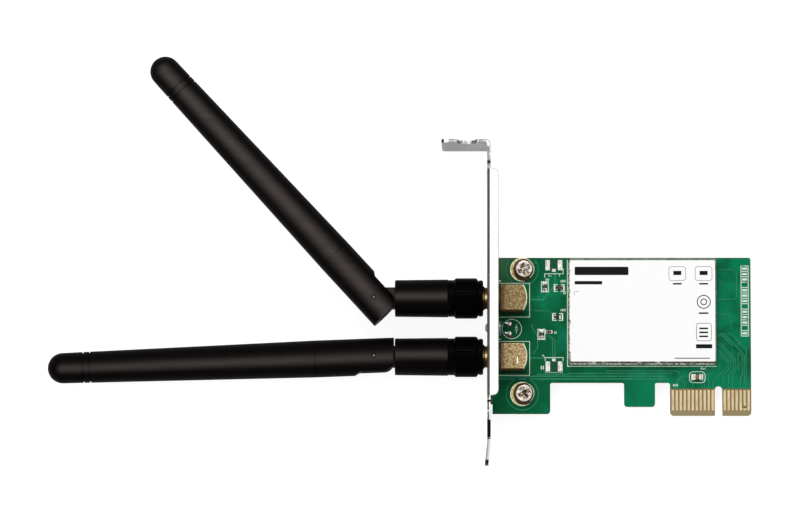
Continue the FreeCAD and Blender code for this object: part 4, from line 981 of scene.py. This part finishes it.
BOTTOM_TRACKS = [
    (0.3, [(-44.4, 34.2), (-30.0, 34.2), (-26.0, 30.2), (-26.0, 16.0), (-20.4, 10.4),
           (-12.0, 10.4), (-9.5, 7.9), (-9.5, 6.9)]),
    (0.3, [(-44.4, 20.5), (-33.0, 20.5), (-24.6, 12.1), (-12.5, 12.1), (-8.5, 8.1), (-8.5, 6.9)]),
    (0.22, [(-21.0, 33.0), (-21.0, 19.4), (-12.0, 10.8), (-7.5, 8.6), (-7.5, 6.9)]),
    (0.22, [(-20.2, 33.0), (-20.2, 20.0), (-11.6, 11.5), (-6.5, 8.8), (-6.5, 6.9)]),
    (0.22, [(-12.0, 30.0), (-12.0, 18.0), (-4.5, 10.4), (-4.5, 6.9)]),
    (0.22, [(-11.2, 30.0), (-11.2, 18.4), (-3.5, 10.7), (-3.5, 6.9)]),
    (0.22, [(-2.0, 31.0), (-2.0, 16.0), (4.5, 9.6), (4.5, 6.9)]),
    (0.22, [(-1.2, 31.0), (-1.2, 16.4), (5.5, 9.8), (5.5, 6.9)]),
    (0.45, [(6.5, 35.0), (6.5, 14.0), (8.5, 11.8), (8.5, 6.9)]),
]
VIAS = [
    (-44.9, 22.6), (-44.3, 15.8), (-45.1, 26.6), (-39.4, 15.0), (-43.2, 26.4), (-26.2, 11.2), (-43.2, 10.35),
    (1.9, 22.9), (2.7, 24.4), (3.3, 18.0), (4.5, 18.7), (2.4, 14.3), (3.6, 15.2), (7.0, 18.0), (6.9, 11.9),
    (3.2, 8.6), (2.1, 12.9), (7.2, 13.3), (5.2, 22.1), (2.4, 36.8), (-12.6, 8.6), (-1.6, 12.2), (-6.9, 9.0),
    (-4.5, 8.2), (9.2, 33.5), (9.2, 24.0), (3.0, 33.4), (8.3, 37.8), (-43.9, 38.6), (-43.2, 29.8),
    (-42.3, 8.9),
]

def make_tracks():
    """Copper tracks and the rims of the screw pads' pours under the mask, on both faces."""
    top = Sheet(TOP, COPPER)
    for width, points in TRACKS:
        top.line(points, width)
    for x, y in SCREW_PADS:
        free = [point for point in arc(x, y, 4.05, 90, 450, 72)
                if point[1] < board_high.y - 0.25 and point[0] > board_low.x + 0.2]
        top.line(free[1:-1], 0.2)
    top.finish("board_tracks", "copper", "pcb")
    bottom = Sheet(BOTTOM, -COPPER)
    for width, points in BOTTOM_TRACKS:
        bottom.line(points, width)
    bottom.finish("bottom_tracks", "copper", "pcb")


def make_vias():
    """Covered via rings and their dimples, stitch holes in the screw pads, and dark rings of painted shadow
    below the screws and the light's leads.
    """
    rings = Sheet(TOP, COPPER * 1.5)
    dimples = Sheet(TOP, COPPER * 1.2)
    dark = Sheet(TOP, PAD)
    under = Sheet(BOTTOM, -COPPER * 1.5)
    for x, y in VIAS:
        rings.ring(x, y, 0.28, 0.15, 16)
        dimples.disc(x, y, 0.16, 12)
        under.ring(x, y, 0.3, 0.14, 16)
    for low, high, _ in EMPTY_PLACES:
        dimples.rect(-40.05, -38.5, low - 0.1, high + 0.05)
    for x, y in SCREW_PADS:
        for hole_x, hole_y in arc(x, y, 2.72, 22.5, 337.5, 7):
            dark.disc(hole_x, hole_y, 0.14, 12)
    # painted shadow: dark rings set a little below each screw and each of the light's leads
    for x, y in SCREWS:
        dark.ring(x + 0.02, y - 0.34, 2.56, 1.8, 64)
    for x, y in lead_spots():
        dark.ring(x + 0.06, y - 0.16, 0.78, 0.3, 24)
    rings.finish("via_rings", "copper", "pcb")
    dimples.finish("via_dimples", "dimple", "pcb")
    dark.finish("dark_rings", "painted_shade", "chip_black")
    under.finish("via_rings_bottom", "copper", "pcb")


def make_pads():
    """Bare tinned pads on both faces, and gilt rings round the board screws."""
    filters = Sheet(TOP, PAD)
    for low, high, middle in EMPTY_PLACES:
        filters.rect(-41.4, -40.3, low, high)
        filters.rect(-38.3, -37.15, low, high)
        filters.rect(-39.75, -38.85, middle - 0.35, middle + 0.35)
    filters.finish("empty_pads", "pad_tin", "tin")
    pads = Sheet(TOP, PAD)
    for x, y, length, width, _, across in CHIPS:
        for way in (-1, 1):
            out = way * (length / 2 + 0.05)
            half_x, half_y = 0.42, width / 2 + 0.12
            if across:
                pads.rect(x - half_y, x + half_y, y + out - half_x, y + out + half_x)
            else:
                pads.rect(x + out - half_x, x + out + half_x, y - half_y, y + half_y)
    pads.finish("tinned_pads", "tin", "tin")
    gilt = Sheet(TOP, PAD * 0.7)
    for x, y in SCREW_PADS:
        gilt.ring(x, y, 3.03, 1.82, 64)
    gilt.finish("screw_pads", "pad_gold", "gold")
    under = Sheet(BOTTOM, -PAD)
    for side in SIDES:
        for x, y in leg_spots(side):
            under.ring(x, y, 1.15, 0.6, 28)
        under.ring(solder_x, jack_y[side], 1.0, 0.55, 28)
    for x, y in lead_spots():
        under.ring(x, y, 0.85, 0.35, 24)
    under.finish("bottom_pads", "tin", "tin")


def make_solder_cones():
    """Soldered joints: fillets that climb the legs, pins and leads."""
    cones = []
    for side in SIDES:
        for x, y in leg_spots(side):
            cones.append(cone([(0, 1.05), (0.12, 0.95), (0.4, 0.68), (0.8, 0.555)], (x, y, BOTTOM), -1))
        pin = solder_x, jack_y[side], BOTTOM
        cones.append(cone([(0, 0.95), (0.12, 0.86), (0.45, 0.6), (0.85, 0.5)], pin, -1))
    for x, y in lead_spots():
        cones.append(cone([(0, 0.78), (0.1, 0.7), (0.35, 0.4), (0.75, 0.29)], (x, y, BOTTOM), -1, 24))
        cones.append(cone([(0, 0.64), (0.07, 0.58), (0.17, 0.42), (0.24, 0.27)],
                          (x + 0.1, y + 0.1, TOP), 1, 24))
    add_tubes("solder_joints", cones, "solder")


def make_chip_ends():
    """Tinned end caps with solder that climbs them, on the small parts in the open."""
    caps = []
    skin = 0.02
    for x, y, length, width, height, across in CHIPS:
        inner, outer, foot = length / 4, length / 2 + skin, length / 2 + 0.3
        high = TOP + height + skin
        section = [(inner, TOP), (foot, TOP), (foot - 0.1, TOP + 0.08), (outer + 0.02, TOP + height * 0.6),
                   (outer, high - 0.07), (outer - 0.07, high), (inner, high)]
        half = width / 2 + skin
        for way in (-1, 1):
            # rows run so that the faces look outward
            halves = (half, -half) if (way > 0) == across else (-half, half)
            caps.append(tube([[(x + beside, y + way * out, z) if across else (x + way * out, y + beside, z)
                               for out, z in section] for beside in halves]))
    add_tubes("chip_ends", caps, "solder", smooth=False)


def make_can_solder():
    """The uneven bead that joins the shield's frame to the board: wide and toothed left and below."""
    inset, step = 0.22, 0.16
    corners = rounded(can_left + inset, can_right - inset, can_bottom + inset, can_top - inset, 0.4, 3)
    outline = []
    for start, end in zip(corners, corners[1:] + corners[:1]):
        count = max(1, round(math.dist(start, end) / step))
        outline += [tuple(a + (b - a) * k / count for a, b in zip(start, end)) for k in range(count)]
    rows = []
    swell, phase = 0.5, 0.0
    for i, (x, y) in enumerate(outline):
        before, after = outline[i - 1], outline[(i + 1) % len(outline)]
        along = Vector((after[0] - before[0], after[1] - before[1])).normalized()
        normal = Vector((along.y, -along.x))
        phase += step / random.uniform(0.8, 1.5)
        tooth = abs(phase % 1.0 - 0.5) * 2
        swell += (random.uniform(0.0, 1.0) - swell) * 0.5
        ran = normal.x < -0.5 or normal.y < -0.5
        wide = inset + (0.08 + 0.14 * swell + 0.14 * tooth if ran else 0.05 + 0.06 * swell)
        high = 0.3 + 0.45 * swell + 0.35 * tooth if ran else 0.25 + 0.2 * swell
        section = ((-0.1, -SUNK), (wide, -SUNK), (wide - 0.03, high * 0.2), (wide * 0.75, high * 0.62),
                   (inset * 0.9, high), (-0.1, high))
        rows.append([(x + normal.x * out, y + normal.y * out, TOP + up) for out, up in section])
    add_tubes("can_solder", [tube(rows, closed=True)], "solder")


def make_label_print():
    """Plain generic shapes: bars where a label has its headings, outlines where it has its marks."""
    marks_x = (-8.35, -1.75)
    ink, fine, rings = (Sheet(label_high.z, LABEL_PRINT) for _ in range(3))
    ink.prism(rounded(-34.1, -20.6, 35.15, 37.25, 0.3, 3))
    ink.rect(-34.1, -27.2, 32.8, 33.65)
    ink.rect(-3.74, 0.31, 16.7, 17.73)
    for x in marks_x:
        ink.rect(x - 1.0, x + 1.0, 35.15, 36.2)
        ink.rect(x - 1.1, x + 1.1, 32.75, 33.15)
        fine.line(rounded(x - 2.1, x + 2.1, 33.75, 37.3, 0.7, 4), 0.13, closed=True)
    ink.rect(-3.0, -0.6, 25.35, 25.75)
    for y in (19.5, 20.5, 21.5):
        ink.rect(-2.9, -0.7, y, y + 0.42)
    corner_x, corner_y = label_low.x + 0.95, label_high.y - 7.9
    fine.line([(corner_x, corner_y - 0.95), (corner_x, corner_y), (corner_x + 1.1, corner_y)], 0.1)
    fine.line(rounded(-3.6, 0.1, 18.6, 23.0, 0.5, 4), 0.16, closed=True)
    fine.rect(-9.1, -0.3, 14.05, 14.35)
    rings.ring(marks_x[1], 28.4, 1.75, 1.52, 40)
    rings.ring(marks_x[1], 28.4, 0.85, 0.6, 32)
    ink.finish("label_blocks", "ink", "chip_black")
    fine.finish("label_lines", "grey_ink", "chip_black")
    rings.finish("label_rings", "ink", "chip_black")


def make_thread(side):
    """The fine ridge of the jack's thread, round the barrel."""
    pitch, radius, height = 25.4 / 36, 3.1, 0.05
    start, end = 0.95, 6.0
    per_turn = 40
    steps = int((end - start - pitch * 0.3) / pitch * per_turn)
    rows = []
    for i in range(steps + 1):
        turn = 2 * math.pi * i / per_turn
        x = FACE_OUT - start - pitch * i / per_turn
        crest = height * min(1.0, i / 12, (steps - i) / 12)
        rows.append([(x + offset, jack_y[side] + (radius + lift) * math.cos(turn),
                      jack_z + (radius + lift) * math.sin(turn))
                     for offset, lift in ((-0.26, -0.05), (-0.09, crest), (0.09, crest), (0.26, -0.05))])
    add_tubes(f"{side}_thread", [tube(rows)], "barrel")


make_print()
make_bottom_print()
make_tracks()
make_vias()
make_pads()
make_solder_cones()
make_chip_ends()
make_can_solder()
make_label_print()
for side in SIDES:
    make_thread(side)


# Stage, light and camera

def seen_by_eye(nodes):
    """1 for camera, glossy and transmission rays."""
    camera, glossy, passed = (nodes.node("LightPath", output=f"Is {kind} Ray")
                              for kind in ("Camera", "Glossy", "Transmission"))
    return camera.most(glossy).most(passed)


def make_stage():
    """A white floor under the card that keeps its shadow."""
    height = cad_box[0].z / MM - 0.3
    reach = 4000
    corners = [(-reach, -reach, height), (reach, -reach, height), (reach, reach, height),
               (-reach, reach, height)]
    data = mesh_from("floor", corners, [(0, 1, 2, 3)])
    material = bpy.data.materials.new("floor_white")
    material.use_nodes = True
    material.node_tree.nodes.clear()
    nodes = Nodes(material.node_tree)
    matt, faint = (nodes.node("BsdfDiffuse", {"Color": grey}) for grey in (0.4, 0.3))
    lit = nodes.node("AddShader", {0: faint, 1: nodes.node("Emission", {"Strength": 0.86})})
    mixed = nodes.node("MixShader", {0: seen_by_eye(nodes), 1: matt, 2: lit})
    out = material.node_tree.nodes.new("ShaderNodeOutputMaterial")
    nodes.put(out.inputs["Surface"], mixed)
    data.materials.append(material)
    in_scene("floor", data)


def make_world():
    """A white world that throws less light than it shows."""
    world = bpy.data.worlds.new("studio")
    bpy.context.scene.world = world
    world.use_nodes = True
    nodes = Nodes(world.node_tree)
    back = world.node_tree.nodes["Background"]
    nodes.put(back.inputs["Color"], 1.0)
    strength = nodes.node("MapRange", {"Value": seen_by_eye(nodes), "To Min": 0.58, "To Max": 1.0})
    nodes.put(back.inputs["Strength"], strength)


def add_lamp(name, place, size, power):
    """A round lamp that looks at the middle of the card."""
    light = bpy.data.lights.new(name, "AREA")
    light.shape = "DISK"
    light.size = size
    light.energy = power
    lamp = in_scene(name, light)
    lamp.location = place
    lamp.rotation_euler = (Vector((-0.045, 0.025, 0.0)) - Vector(place)).to_track_quat("-Z", "Y").to_euler()


def make_camera():
    """The photo's camera: its focal length in pixels of a picture 800 wide, its place and its turn."""
    focal, width, sensor = 4759.1, 800, 36
    data = bpy.data.cameras.new("photo_camera")
    camera = in_scene("photo_camera", data)
    data.sensor_width = sensor
    data.lens = focal * sensor / width
    data.clip_start = 0.05
    data.clip_end = 20
    camera.location = Vector((-51.8495, -82.9723, 1193.5162)) * MM
    camera.rotation_euler = Euler([math.radians(v) for v in (5.912, 1.247, 0.107)])
    bpy.context.scene.camera = camera


make_stage()
make_world()
add_lamp("key", (-0.15, 0.75, 1.0), 0.5, 6.4)
add_lamp("fill", (-0.5, -0.1, 0.9), 0.7, 1.6)
make_camera()
bpy.context.scene.view_settings.view_transform = "Standard"
